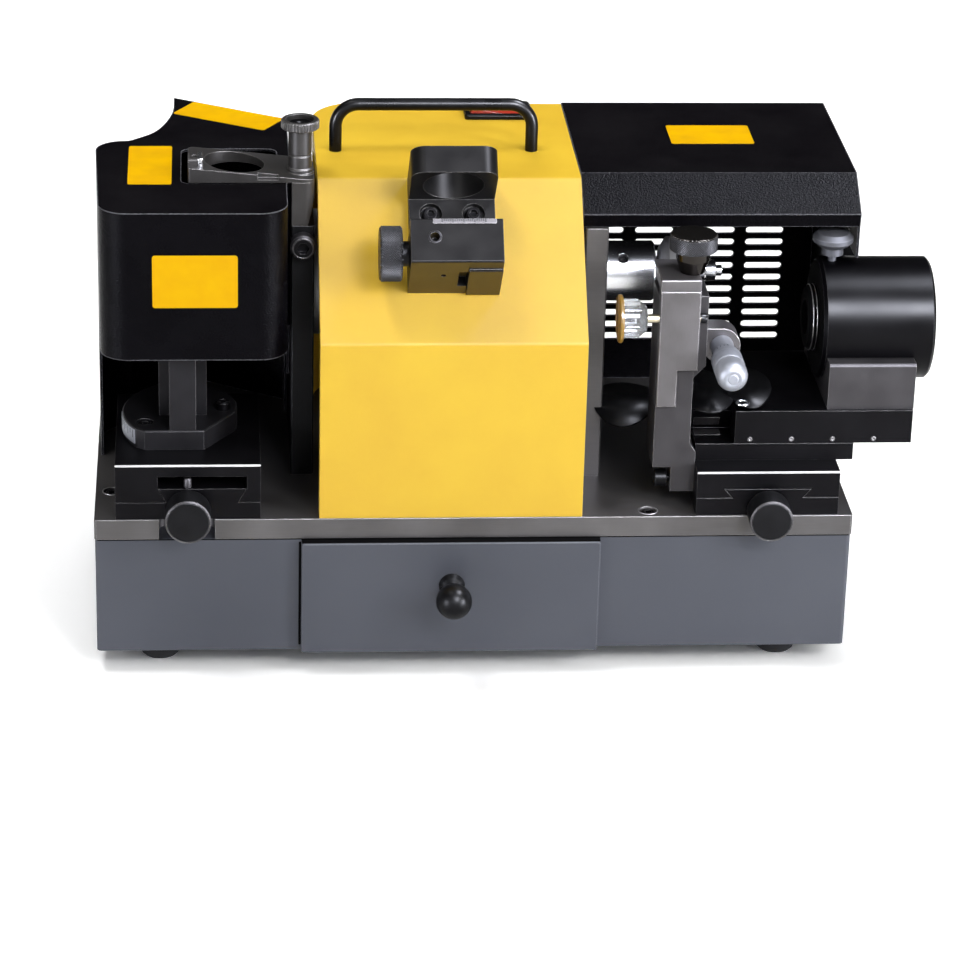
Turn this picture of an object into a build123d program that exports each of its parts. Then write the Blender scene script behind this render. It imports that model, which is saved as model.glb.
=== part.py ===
from build123d import *
import math
import os

# Endmill grinder, in millimetres. Every piece is drawn in bed coordinates:
# X from the left end of the bed plate, Y back from its front edge, Z up from its top.
# At the end all pieces move to the part's own frame, whose origin is under the middle of the box.

# Main widths, which set the places along the machine
cover_x = 126.4
cover_w = 148.8
cover_end = cover_x + cover_w
right_x = cover_end + 64.8
bed_w = right_x + 90.0

# Bed plate, base and drawer
bed_d = 222.0
bed_t = 12.0
base_h = 70.0
base_inset = 0.3
base_sheet = 1.5
base_flange = 17.0
foot_h = 14.0
foot_r = 13.0
foot_in_x = 36.0
foot_in_y = 27.0
notch_x = 52.0
notch_w = 31.5
notch_d = 18.0
bed_screw_at = [(9.5, 40.0), (cover_end + 38.3, 8.5), (9.5, 205.0), (bed_w - 9.5, 205.0)]
drawer_x = cover_x + 74.8
drawer_front_w = 169.7
drawer_front_t = 5.0
drawer_gap = 0.3
drawer_w = 154.0
drawer_h = 49.0
drawer_d = 165.0
drawer_sheet = 1.2
drawer_top_drop = 1.2
opening_margin = 3.0
runner_h = 4.0
pull_x = drawer_x + 0.5
pull_z = -39.9
pull_ball_r = 10.2
pull_reach = 21.0
gland_z = -46.0
gland_r = 9.0

# Fits and fasteners
run_fit = 0.05
slide_gap = 0.25
m5_r = 2.5
m5_head_r = 4.25
m5_head_h = 5.0
bore_room = 0.6

# Motor, shaft and bearing plates
axis_y = 105.0
axis_z = 109.0
plate_t = 13.0
plate_left_x = 111.5
plate_right_x = cover_end + 2.3
plate_front_left = 62.0
plate_front_right = 57.0
plate_back = 200.0
plate_h = 152.5
bearing_r = 17.5
shaft_r = 7.5
end_r = 6.0
motor_r = 50.0
bell_r = 36.0
bell_len = 10.0

# Yellow cover, handle and switch
cover_front = 0.7
cover_fold_z = plate_h - 47.2
cover_top_y = 72.0
cover_top_z = plate_h + 25.1
cover_back = 206.0
cover_corner = 30.0
cover_sheet = 1.5
cover_lip = 12.0
handle_r = 3.6
handle_y = 119.7
handle_x = cover_x + 67.9
handle_span = 112.7
handle_rise = 27.6
handle_bend = 13.0
switch_x = cover_end - 39.2
switch_y = 187.0
switch_w = 40.0
switch_d = 27.0
switch_rim = 3.0
switch_wall = 3.2
rocker_tilt = 9.0

# Setting fixture on the sloped face, as t up the slope and n out from it
seat_w = 48.2
seat_t0 = 58.0
seat_t1 = 100.0
seat_base_n = 9.5
upright_t = 16.0
upright_n = 45.0
upright_round = 8.0
chuck_r = 17.0
chuck_n = 27.5
seat_screw_dx = 12.0
seat_screw_t = 75.0
seat_bore_r = 6.3
block_w = 51.0
block_t0 = 31.0
block_t1 = 57.4
block_n = 42.8
gauge_w = 18.6
gauge_t = 18.0
gauge_n = 34.0
knob_t = 44.4
knob_n = 24.0
knob_r = 15.0
knob_w = 12.5
knob_neck = 4.0
set_screw_r = 3.0

# Left wheel cover
guard_left = 4.4
guard_left_back = 1.1
guard_right = 108.8
guard_front = 14.0
guard_back = 135.5
guard_low = 91.0
guard_neck_x = 45.2
guard_tail_y = 214.0
guard_tail_x = 111.3
guard_tail_end = 175.0
guard_sheet = 1.5
guard_round = 16.0
guard_skirt_y = 91.0
guard_way_x0 = 50.0
guard_way_x1 = 104.0
guard_way_y1 = 122.0

# Chuck arm and its post, which stands on the left bearing plate
arm_x = 79.7
arm_y = 80.6
arm_left = 53.8
arm_right = 124.4
arm_front = 62.0
arm_back = 99.4
arm_z = cover_top_z + 0.6
arm_t = 8.6
arm_fall = 7.2
key_back = 79.0
key_d = 12.0
key_h = 5.7
pivot_x = 116.6
pivot_y = 76.0
pivot_r = 4.0
pivot_seat_z = arm_z + 3.0
pivot_len = 16.0
post_x = 111.7
post_d = 30.0
post_foot_x = 120.8
post_turn_z = arm_z - 10.2
plate_screw_z = plate_h - 10.6
plate_screw_r = 7.2
plate_screw_len = 18.0
lock_head_r = 10.75
lock_barrel_r = 6.6
lock_groove = 9.0
lock_neck = 24.8
lock_h = 30.0

# Left grinding wheel
wheel_x = 72.0
wheel_w = 15.0
wheel_r = 50.0

# Left slide
slide_w = 81.5
left_x = 12.0
left_front = 1.0
left_base_len = 121.0
left_base_z = 10.0
left_ridge_z = 18.5
left_ceiling_z = 26.0
left_saddle_z = 33.0
left_saddle_len = 104.0
left_way_dx = 8.0
left_knob_z = 6.6
left_knob_r = 12.8
way_half = 20.0
way_flare = 4.5
feed_r = 3.0
feed_knob_len = 17.0
nut_len = 22.0
nut_half = 6.0
web = 15.0
swivel_x = 50.0
swivel_y = 56.0
swivel_r = 34.0
swivel_t = 11.7
rib_w = 14.8
rib_front = 22.6
web_w = 27.0
web_y0 = 45.0
web_y1 = 57.0
post_top = 140.0
finger_z = 126.0
finger_len = 10.0

# Right slide
right_front = 1.5
right_base_len = 129.5
right_base_z = 10.5
right_ridge_z = 15.8
right_saddle_z = 26.5
right_saddle_len = 107.0
right_knob_z = 4.4
right_knob_r = 12.2

# Cross slide and work head
guide_x0 = right_x + 0.4
guide_x1 = right_x + 91.0
cross_front = 18.7
cross_d = 90.6
guide_z = 36.6
guide_top = 50.0
guide_half = 22.0
guide_flare = 6.0
cross_x0 = right_x + 22.5
cross_x1 = right_x + 124.0
cross_top = 56.6
gib_z = 39.4
gib_r = 1.5
gib_at = [right_x + 31.4, right_x + 55.2, right_x + 78.8, right_x + 102.4]
cradle_x0 = right_x + 74.9
cradle_x1 = right_x + 124.5
cradle_inset = 2.3
cradle_top = 84.0
head_r = 35.0
head_z = 96.0
head_x0 = right_x + 72.0
head_x1 = right_x + 136.0
nose_r = 19.0
nose_len = 5.8
work_r = 12.5
collet_r = 10.0
plunger_x = right_x + 79.6
plunger_stem_r = 6.2
plunger_pin_r = 2.4
plunger_head_r = 11.6
plunger_h = 18.0

# Tooth rest on the right saddle
rest_x0 = right_x - 24.2
rest_x1 = right_x - 3.5
rest_front = 15.0
rest_back = 46.0
rest_low = 9.0
rest_shelf = 61.5
rest_top = 126.0
lug_x = right_x + 4.0
lug_z = 84.0
foot_z = 33.0
screw_notch_x = right_x - 13.7
screw_notch_z = 24.0
lift_x1 = right_x - 1.4
lift_front = 12.0
lift_t = 7.6
lift_low = 62.0
lift_step = 84.0
lift_step_x = right_x - 12.8
lift_top = 132.0
cap_t = 6.6
slide_key_w = 10.0
slide_key_d = 6.0
raise_x = right_x - 5.5
raise_y = 26.0
raise_r = 2.5
raise_knob_r = 13.0
raise_neck = 13.4
raise_knob_h = 9.6
stop_z = 114.5
stop_knob_r = 11.0
stop_disc_r = 13.6
stop_disc_t = 2.4
thumb_y = 21.0
thumb_z = 15.0
thumb_r = 4.9

# Micrometer
mic_x = right_x + 15.6
mic_z = 87.9
mic_clamp_r = 10.5
mic_clamp_y0 = 40.0
mic_clamp_len = 14.0
mic_body_r = 5.0
mic_sleeve_r = 6.6
mic_sleeve_y0 = 14.0
mic_spindle_r = 3.0
mic_tip_y = 70.0
thimble_r = 8.8
thimble_y0 = -10.0
thimble_len = 34.0
thimble_wall = 6.0

# Right wheel, hood, rear panel and dust flap
tube_r = 17.5
tube_len = 32.0
small_wheel_x = plate_right_x + 48.5
small_wheel_w = 14.0
small_wheel_r = 20.0
arbor_end = small_wheel_x + 36.5
hood_x0 = cover_end + 0.4
hood_x1 = right_x + 93.8
hood_top_y = 81.0
hood_nose_y = 57.0
hood_lip_z = head_z + head_r + plunger_h + 4.0
hood_nose_z = hood_lip_z + 8.0
hood_back = 206.0
hood_sheet = 1.5
hood_gap = 3.0
hood_side_low = head_z + head_r + hood_gap
hood_side_y = 128.0
head_reach = 16.0
slot_len = 22.9
slot_h = 4.0
slot_at = [0.85, 31.0, 68.8, 98.6]
slot_pitch_z = 7.64
slot_x0 = hood_x0 + 28.4
slot_z0 = 28.2
slot_rows = 11
flap_t = 1.6
flap_gap = 1.5
flap_drop = 22.0
flap_dip = 5.0
flap_end = 75.0
flap_lobes = [(37.0, 50.0, 26.0), (57.0, 36.0, 16.0), (14.0, 70.0, 24.0), (-10.0, 66.0, 20.0)]

# Derived places
plate_left_in = plate_left_x + plate_t
plate_right_in = plate_right_x
plate_right_out = plate_right_x + plate_t
slope_len = math.hypot(cover_top_y - cover_front, cover_top_z - cover_fold_z)
slope_deg = math.degrees(math.atan2(cover_top_z - cover_fold_z, cover_top_y - cover_front))
cover_mid = cover_x + cover_w / 2
left_mid = left_x + slide_w / 2
right_mid = right_x + slide_w / 2
cross_mid_y = cross_front + cross_d / 2
floor_z = -bed_t - base_h
drawer_floor = floor_z + base_sheet + runner_h
pull_y = drawer_gap - drawer_front_t - pull_reach
gland_end = bed_d + 8.0
frame = Pos(-head_x1 / 2, -(gland_end + pull_y - pull_ball_r) / 2, bed_t + base_h + foot_h)


def block(x0, x1, y0, y1, z0, z1):
    """A box between two corners."""
    return Pos((x0 + x1) / 2, (y0 + y1) / 2, (z0 + z1) / 2) * Box(x1 - x0, y1 - y0, z1 - z0)


def rod_x(r, x0, x1, y, z):
    """A round bar along X."""
    return Pos((x0 + x1) / 2, y, z) * Rot(0, 90, 0) * Cylinder(r, x1 - x0)


def rod_y(r, y0, y1, x, z):
    """A round bar along Y."""
    return Pos(x, (y0 + y1) / 2, z) * Rot(90, 0, 0) * Cylinder(r, y1 - y0)


def rod_z(r, z0, z1, x, y):
    """A round bar along Z."""
    return Pos(x, y, (z0 + z1) / 2) * Cylinder(r, z1 - z0)


def outline(points, rounds=None):
    """A closed flat outline, with a round at each corner named in rounds."""
    face = make_face(Polyline(*points, close=True))
    for (px, py), r in (rounds or {}).items():
        corner = face.vertices().sort_by_distance((px, py, 0))[0]
        face = fillet(corner, r)
    return face


def along_x(face, x0, x1):
    """A Y-Z outline drawn out from x0 to x1."""
    plane = Plane(origin=(x0, 0, 0), x_dir=(0, 1, 0), z_dir=(1, 0, 0))
    return extrude(plane * face, x1 - x0)


def along_y(face, y0, y1):
    """An X-Z outline drawn out from y0 to y1."""
    plane = Plane(origin=(0, y1, 0), x_dir=(1, 0, 0), z_dir=(0, -1, 0))
    return extrude(plane * face, y1 - y0)


def along_z(face, z0, z1):
    """An X-Y outline drawn out from z0 to z1."""
    return extrude(Pos(0, 0, z0) * face, z1 - z0)


def turned(points, origin, axis):
    """A turned solid: points are (radius, distance along the axis) from the origin."""
    x_dir = (0, 0, 1) if axis != (0, 0, 1) else (1, 0, 0)
    face = make_face(Polyline(*points, close=True))
    plane = Plane(origin=(0, 0, 0), x_dir=(1, 0, 0), z_dir=(0, -1, 0))
    solid = revolve(plane * face, Axis.Z)
    return Plane(origin=origin, x_dir=x_dir, z_dir=axis) * solid


def cap_screw(r_head, h_head, r, length, socket):
    """A socket cap screw standing on z = 0, its shank below."""
    head = chamfer(Cylinder(r_head, h_head).edges().group_by(Axis.Z)[-1], 0.18 * r_head)
    screw = Pos(0, 0, h_head / 2) * head + Pos(0, 0, -length / 2) * Cylinder(r, length)
    hexagon = extrude(RegularPolygon(socket, 6), -h_head * 0.55)
    return screw - Pos(0, 0, h_head) * hexagon


def knurled(r, r_grip, z0, z1, x, y, flutes):
    """A round grip along Z with shallow grooves round it."""
    grip = rod_z(r, z0, z1, x, y)
    grip = chamfer(grip.edges().filter_by(GeomType.CIRCLE), 0.7)
    for i in range(flutes):
        a = 2 * math.pi * i / flutes
        grip -= rod_z(r_grip, z0 - 1, z1 + 1, x + r * math.cos(a), y + r * math.sin(a))
    return grip


# Base, bed and drawer

def make_base_box():
    x0, x1 = base_inset, bed_w - base_inset
    y0, y1 = base_inset, bed_d - base_inset
    s = base_sheet
    shell = fillet(block(x0, x1, y0, y1, floor_z, -bed_t).edges().filter_by(Axis.Z), 2.5)
    inner = block(x0 + s, x1 - s, y0 + s, y1 - s, floor_z + s, -bed_t - s)
    f = base_flange
    window = fillet(block(x0 + f, x1 - f, y0 + f, y1 - f, -bed_t - 5, 0).edges().filter_by(Axis.Z), 6)
    m = opening_margin
    half = drawer_w / 2 + m
    mouth = block(drawer_x - half, drawer_x + half, y0 - 1, y0 + s + 1,
                  drawer_floor - m, drawer_floor + drawer_h + m)
    box = shell - inner - window - mouth
    for x, y in bed_screw_at:
        box -= rod_z(m5_r + run_fit, -bed_t - 5, 0, x, y)
    box -= rod_y(gland_r * 0.7, y1 - s - 1, y1 + 1, bed_w / 2, gland_z)
    return box + drawer_runners()


def make_feet():
    feet = []
    for x in (foot_in_x, bed_w - foot_in_x):
        for y in (foot_in_y, bed_d - foot_in_y):
            ring = [(0, 0), (foot_r, 0), (foot_r - 2, -foot_h + 1.5), (foot_r - 3.5, -foot_h), (0, -foot_h)]
            feet.append(turned(ring, (x, y, floor_z), (0, 0, 1)))
    return Compound(children=feet)


def make_bed_plate():
    plate = block(0, bed_w, 0, bed_d, -bed_t, 0)
    plate = chamfer(plate.edges().filter_by(Axis.Z), 1.0)
    cut = block(notch_x - notch_w / 2, notch_x + notch_w / 2, -2, notch_d, -bed_t - 1, 1)
    plate -= fillet(cut.edges().filter_by(Axis.Z).group_by(Axis.Y)[-1], 4)
    for x, y in bed_screw_at:
        plate -= rod_z(m5_r + bore_room, -bed_t - 1, 1, x, y)
        plate -= rod_z(m5_head_r + bore_room, -m5_head_h - 0.6, 1, x, y)
    return plate


def make_cap_screws():
    low = -m5_head_h - 0.6
    screw = cap_screw(m5_head_r, m5_head_h, m5_r, bed_t + low + base_sheet + 3, 2.3)
    screws = [Pos(x, y, low) * screw for x, y in bed_screw_at]
    screw = cap_screw(m5_head_r, m5_head_h, m5_r, seat_base_n, 2.3)
    screws += [slope_place(x, seat_screw_t, seat_base_n - 4) * screw for x in (-seat_screw_dx,
                                                                               seat_screw_dx)]
    place = (plate_left_x + plate_t / 2, plate_front_left, plate_screw_z)
    front = Plane(origin=place, x_dir=(1, 0, 0), z_dir=(0, -1, 0))
    screws.append(front * cap_screw(plate_screw_r, 8.0, m5_r + 1, plate_screw_len, 3.6))
    return Compound(children=screws)


def drawer_runners():
    """The two angle rails welded to the base floor that carry the drawer."""
    rails = []
    z0 = floor_z + base_sheet
    for side in (-1, 1):
        edge = drawer_x + side * drawer_w / 2
        shape = outline([(edge - side * 9, z0), (edge + side * 2.4, z0),
                         (edge + side * 2.4, z0 + runner_h + 7),
                         (edge + side * 0.9, z0 + runner_h + 7),
                         (edge + side * 0.9, z0 + runner_h - drawer_gap),
                         (edge - side * 9, z0 + runner_h - drawer_gap)])
        rails.append(along_y(shape, base_inset + base_sheet + 1, drawer_d + 25))
    return rails


def make_drawer_tray():
    x0, x1 = drawer_x - drawer_w / 2, drawer_x + drawer_w / 2
    s = drawer_sheet
    y0 = base_inset - drawer_gap
    tray = block(x0, x1, y0, drawer_d, drawer_floor, drawer_floor + drawer_h)
    return tray - block(x0 + s, x1 - s, y0 + s, drawer_d - s, drawer_floor + s, drawer_floor + drawer_h + 1)


def make_drawer_front():
    half = drawer_front_w / 2
    y1 = base_inset - drawer_gap
    panel = block(drawer_x - half, drawer_x + half, y1 - drawer_front_t, y1, floor_z,
                  -bed_t - drawer_top_drop)
    panel = fillet(panel.edges().filter_by(Axis.Y), 1.5)
    return chamfer(panel.faces().sort_by(Axis.Y)[0].edges(), 0.6)


def make_drawer_pull():
    y0 = base_inset - drawer_gap - drawer_front_t
    length = y0 - pull_y
    r = pull_ball_r
    stem = turned([(0, 0), (7.5, 0), (6.0, 3.0), (4.0, 5.0), (4.0, length), (0, length)],
                  (pull_x, y0, pull_z), (0, -1, 0))
    return stem + Pos(pull_x, pull_y, pull_z) * Sphere(r)


def make_cable_gland():
    y0 = bed_d - base_inset
    r = gland_r
    neck = turned([(r * 0.35, -8), (r * 0.69, -8), (r * 0.69, 0), (r, 0), (r, 5), (r * 0.8, gland_end - y0),
                   (r * 0.35, gland_end - y0)], (bed_w / 2, y0, gland_z), (0, 1, 0))
    return neck


# Motor group

def make_bearing_plate(x0, front):
    shape = outline([(front, 0), (plate_back, 0), (plate_back, plate_h), (front, plate_h)],
                    {(plate_back, plate_h): 18.0})
    plate = along_x(shape, x0, x0 + plate_t)
    plate = chamfer(plate.edges().filter_by(Axis.Z).group_by(Axis.Y)[0], 0.8)
    return plate - rod_x(bearing_r, x0 - 1, x0 + plate_t + 1, axis_y, axis_z)


def make_left_plate():
    plate = make_bearing_plate(plate_left_x, plate_front_left)
    y0, y1 = plate_front_left - 1, plate_front_left + plate_screw_len + 1
    return plate - rod_y(m5_r + 1 + run_fit, y0, y1, plate_left_x + plate_t / 2, plate_screw_z)


def make_motor_body():
    a, b = plate_left_in, plate_right_in
    g = bell_len
    shape = [(shaft_r + 3, a), (bell_r, a), (bell_r, a + g * 0.6), (motor_r - 5, a + g),
             (motor_r - 5, a + g + 4)]
    ribs = 6
    first, last = a + g + 4, b - g - 4
    step = (last - first) / ribs
    for i in range(ribs):
        s = first + i * step
        shape += [(motor_r, s + 0.25 * step), (motor_r, s + 0.75 * step), (motor_r - 3, s + 0.85 * step)]
    shape += [(motor_r - 5, last), (motor_r - 5, b - g), (bell_r, b - g * 0.6), (bell_r, b),
              (shaft_r + 3, b)]
    return turned(shape, (0, axis_y, axis_z), (1, 0, 0))


def make_bearings():
    rings = []
    for x in (plate_left_x, plate_right_x):
        ring = rod_x(bearing_r - 0.02, x + 1, x + plate_t - 1, axis_y, axis_z)
        rings.append(ring - rod_x(shaft_r + run_fit, x, x + plate_t, axis_y, axis_z))
    return Compound(children=rings)


def make_shaft():
    left = wheel_x - 14
    shape = [(0, left), (end_r - 1, left), (end_r, left + 1), (end_r, plate_left_x - 4),
             (shaft_r, plate_left_x - 4),
             (shaft_r, plate_right_out + 6), (end_r, plate_right_out + 6),
             (end_r, small_wheel_x + small_wheel_w + 3),
             (0, small_wheel_x + small_wheel_w + 3)]
    return turned(shape, (0, axis_y, axis_z), (1, 0, 0))


def make_left_wheel():
    x0, x1 = wheel_x, wheel_x + wheel_w
    r = wheel_r
    bore = end_r + 0.02
    shape = [(bore, x0 + 3), (r * 0.55, x0 + 3), (r * 0.62, x0), (r, x0), (r, x1 - 4), (r * 0.9, x1),
             (bore, x1)]
    return turned(shape, (0, axis_y, axis_z), (1, 0, 0))


def make_wheel_clamps():
    x0, x1 = wheel_x, wheel_x + wheel_w
    bore = end_r + 0.02
    inner = turned([(bore, x1), (20, x1), (20, x1 + 4), (12, plate_left_x - 4), (bore, plate_left_x - 4)],
                   (0, axis_y, axis_z), (1, 0, 0))
    outer = turned([(bore, x0 + 3), (20, x0 + 3), (20, x0 - 1), (14, x0 - 2), (bore, x0 - 2)],
                   (0, axis_y, axis_z), (1, 0, 0))
    plane = Plane(origin=(x0 - 2, axis_y, axis_z), x_dir=(0, 1, 0), z_dir=(-1, 0, 0))
    nut = extrude(plane * RegularPolygon(10.0, 6), 8) - rod_x(bore, x0 - 12, x0, axis_y, axis_z)
    return Compound(children=[inner, outer, nut, wheel_bolt()])


def make_spindle_tube():
    x0 = plate_right_out
    tube = turned([(shaft_r + 2.5, x0), (tube_r, x0), (tube_r, x0 + tube_len - 1),
                   (tube_r - 1, x0 + tube_len),
                   (shaft_r + 2.5, x0 + tube_len)], (0, axis_y, axis_z), (1, 0, 0))
    hole = Pos(x0 + 13, axis_y, axis_z) * Rot(46, 0, 0) * Pos(0, 0, tube_r) * Cylinder(3.0, 20)
    return tube - hole


def make_right_wheel():
    x0 = small_wheel_x
    x1 = x0 + small_wheel_w
    r = small_wheel_r
    bore = end_r + 0.02
    return turned([(bore, x0), (r * 0.7, x0), (r, x0 + 4), (r, x1), (r * 0.75, x1), (r * 0.7, x1 - 5),
                   (bore, x1 - 5)],
                  (0, axis_y, axis_z), (1, 0, 0))


def wheel_bolt():
    """The collar and cap on the right end of the shaft."""
    x0 = small_wheel_x + small_wheel_w - 5
    x1 = small_wheel_x + small_wheel_w + 3
    bore = end_r + 0.02
    return turned([(bore, x0), (10.5, x0), (10.5, x0 + 4), (7.0, x0 + 5.5), (7.0, x1 + 9), (6.0, x1 + 10),
                   (6.0, arbor_end - 4), (3.2, arbor_end - 3), (3.2, arbor_end), (0, arbor_end), (0, x1),
                   (bore, x1)],
                  (0, axis_y, axis_z), (1, 0, 0))


# Yellow cover, handle and switch

def cover_outline(inset):
    """The cover's side outline, moved in by inset."""
    k = inset
    turn = k * math.tan(math.radians(slope_deg) / 2)
    back = k * math.tan(math.radians(90 - slope_deg) / 2)
    points = [(cover_front + k, -2 * bool(k)), (cover_front + k, cover_fold_z - back),
              (cover_top_y + turn, cover_top_z - k), (cover_back - k, cover_top_z - k),
              (cover_back - k, -2 * bool(k))]
    r = 3.0 - k if k < 2.5 else 0.5
    return outline(points, {points[1]: r, points[2]: r, points[3]: r})


def cover_plan(inset):
    """The cover from above, moved in by inset, with its big corner at the left back."""
    k = inset
    left, right, back = cover_x + k, cover_end - k, cover_back - k
    return outline([(left, cover_front - 5), (right, cover_front - 5), (right, back), (left, back)],
                   {(left, back): cover_corner - k})


def make_motor_cover():
    x0, x1 = cover_x, cover_x + cover_w
    s = cover_sheet
    cover = along_x(cover_outline(0), x0, x1) & along_z(cover_plan(0), -5, cover_top_z + 5)
    cover -= along_x(cover_outline(s), x0 + s, x1 - s) & along_z(cover_plan(s), -5, cover_top_z + 5)
    opening = along_x(cover_outline(cover_lip), x0 - 1, x1 + 1)
    opening -= block(x0 - 2, x0 + cover_corner, cover_back - cover_corner - s, cover_back, -5, cover_top_z)
    cover -= opening
    half_w, half_d = switch_w / 2 - switch_wall, switch_d / 2 - switch_wall
    cover -= block(switch_x - half_w - 2, switch_x + half_w + 2, switch_y - half_d - 2,
                   switch_y + half_d + 2,
                   cover_top_z - 5, cover_top_z + 5)
    for x in (-seat_screw_dx, seat_screw_dx):
        cover -= slope_place(x, seat_screw_t, 0) * Cylinder(m5_r + run_fit, 12)
    return cover


def make_handle():
    x0, x1 = handle_x - handle_span / 2, handle_x + handle_span / 2
    z0, z1 = cover_top_z, cover_top_z + handle_rise
    b = handle_bend
    corners = [(x0, handle_y, z0), (x0, handle_y, z1), (x1, handle_y, z1), (x1, handle_y, z0)]
    path = FilletPolyline(*corners, radius=b)
    ring = Plane(origin=(x0, handle_y, z0), z_dir=(0, 0, 1)) * Circle(handle_r)
    return sweep(ring, path)


def make_switch_bezel():
    z = cover_top_z
    rim = block(switch_x - switch_w / 2, switch_x + switch_w / 2, switch_y - switch_d / 2,
                switch_y + switch_d / 2,
                z, z + switch_rim)
    rim = fillet(rim.edges().filter_by(Axis.Z), 2.5)
    rim = chamfer(rim.faces().sort_by(Axis.Z)[-1].edges(), 0.8)
    half_w, half_d = switch_w / 2 - switch_wall, switch_d / 2 - switch_wall
    well = block(switch_x - half_w - 1.6, switch_x + half_w + 1.6, switch_y - half_d - 1.6,
                 switch_y + half_d + 1.6,
                 z - 20, z)
    return rim + well - block(switch_x - half_w, switch_x + half_w, switch_y - half_d, switch_y + half_d,
                              z - 18, z + switch_rim + 1)


def make_switch_rocker():
    z = cover_top_z + 0.5
    r = switch_w / 2 - switch_wall - 0.4
    half_d = switch_d / 2 - switch_wall - 0.4
    drum = rod_y(r, switch_y - half_d, switch_y + half_d, switch_x, z)
    rise = r * math.tan(math.radians(rocker_tilt))
    top = 3.2
    keep = outline([(switch_x - r - 1, z - 7), (switch_x + r + 1, z - 7),
                    (switch_x + r + 1, z + top - 0.6 * rise),
                    (switch_x, z + top - 0.6), (switch_x - r - 1, z + top + rise)])
    return drum & along_y(keep, switch_y - half_d - 1, switch_y + half_d + 1)


# Setting fixture on the slope

def slope_place(x, t, n):
    """The place at x across, t up the slope and n out from it, with Z out of the slope and Y up it."""
    a = math.radians(slope_deg)
    y = cover_front + t * math.cos(a) - n * math.sin(a)
    z = cover_fold_z + t * math.sin(a) + n * math.cos(a)
    return Location((cover_mid + x, y, z), (slope_deg, 0, 0))


def on_slope(solid):
    """Moves a solid drawn with X across, Y up the slope and Z out of it."""
    return slope_place(0, 0, 0) * solid


def make_setting_seat():
    h = seat_w / 2
    base = block(-h, h, seat_t0, seat_t1, 0, seat_base_n)
    wall = outline([(-h, 0), (h, 0), (h, upright_n), (-h, upright_n)],
                   {(h, upright_n): upright_round, (-h, upright_n): upright_round})
    seat = base + along_y(wall, seat_t1 - upright_t, seat_t1)
    seat -= rod_y(chuck_r, seat_t1 - upright_t - 1, seat_t1 + 1, 0, chuck_n)
    for x in (-seat_screw_dx, seat_screw_dx):
        seat -= rod_z(m5_r + bore_room, -1, seat_base_n + 1, x, seat_screw_t)
        seat -= rod_z(seat_bore_r, seat_base_n - 4, seat_base_n + 1, x, seat_screw_t)
    return on_slope(seat)


def make_setting_block():
    h = block_w / 2
    shape = outline([(block_t0, 0), (block_t1, 0), (block_t1, block_n), (block_t0, block_n)],
                    {(block_t0, block_n): 1.2, (block_t1, block_n): 1.2})
    body = along_x(shape, -h, h)
    pocket = block(h - gauge_w - slide_gap, h + 1, block_t0 - 1, block_t0 + gauge_t + slide_gap, -1,
                   gauge_n + 2 * slide_gap)
    body -= pocket
    body -= rod_x(set_screw_r + run_fit, -h - 1, h - gauge_w + 1, knob_t, knob_n)
    body -= rod_z(2.6, block_n - 7, block_n + 1, -12.2, (block_t0 + block_t1) / 2 + 2)
    body -= block(1.4, h - gauge_w + 0.2, block_t0 - 1, block_t0 + 6, 10, 29)
    body -= rod_y(1.6, block_t0 - 1, block_t0 + 5, -7.0, 24.5)
    return on_slope(body)


def make_setting_gauge():
    h = block_w / 2
    g = slide_gap
    body = block(h - gauge_w, h, block_t0 - 1.5, block_t0 + gauge_t, g, gauge_n)
    body = chamfer(body.edges().filter_by(Axis.X).group_by(Axis.Y)[0], 1.0)
    return on_slope(body - rod_x(set_screw_r + run_fit, h - gauge_w - 1, h - 3, knob_t, knob_n))


def make_setting_knob():
    h = block_w / 2
    head = knurled(knob_r, 0.8, 0, knob_w, 0, 0, 30)
    neck = rod_z(7.0, knob_w, knob_w + knob_neck - slide_gap, 0, 0)
    screw = rod_z(set_screw_r, knob_w + knob_neck - slide_gap, knob_w + knob_neck + block_w - 7, 0, 0)
    whole = head + neck + screw
    return on_slope(Pos(-h - knob_neck - knob_w, knob_t, knob_n) * Rot(0, 90, 0) * whole)


# Left side

def guard_outline(k):
    """The wheel cover's plan outline moved in by k, its tail swept back along the motor."""
    left, right, front, back = guard_left + k, guard_right - k, guard_front + k, guard_back - k
    far_left, neck, tail_x, r = guard_left_back + k, guard_neck_x + k, guard_tail_x - k, guard_round
    jog = plate_front_left + 4 + k
    reach = guard_tail_y - guard_back
    tail_k = 1.28 * k
    corner = (far_left + r, back)
    swept = []
    for dx, share, lean in ((0, 0.80, 0), (3.8, 0.45, 18), (7.7, 0.29, 33), (13.4, 0.155, 50),
                            (21.9, 0.042, 70)):
        a = math.radians(lean)
        swept.append((guard_neck_x - dx + k * math.cos(a), guard_back + share * reach - k * math.sin(a)))
    path = [Line((left + r, front), (right - r, front)),
            RadiusArc((right - r, front), (right, front + r), -r),
            Line((right, front + r), (right, jog - 3)),
            Line((right, jog - 3), (tail_x, jog)),
            Line((tail_x, jog), (tail_x, guard_tail_end - tail_k)),
            Line((tail_x, guard_tail_end - tail_k), (neck, guard_tail_y - tail_k)),
            Line((neck, guard_tail_y - tail_k), swept[0]),
            Spline([*swept, corner], tangents=[(0, -1), (-1, -0.06)]),
            RadiusArc(corner, (far_left, back - r), -r),
            Line((far_left, back - r), (left, front + r)),
            RadiusArc((left, front + r), (left + r, front), -r)]
    return make_face(path)


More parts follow.
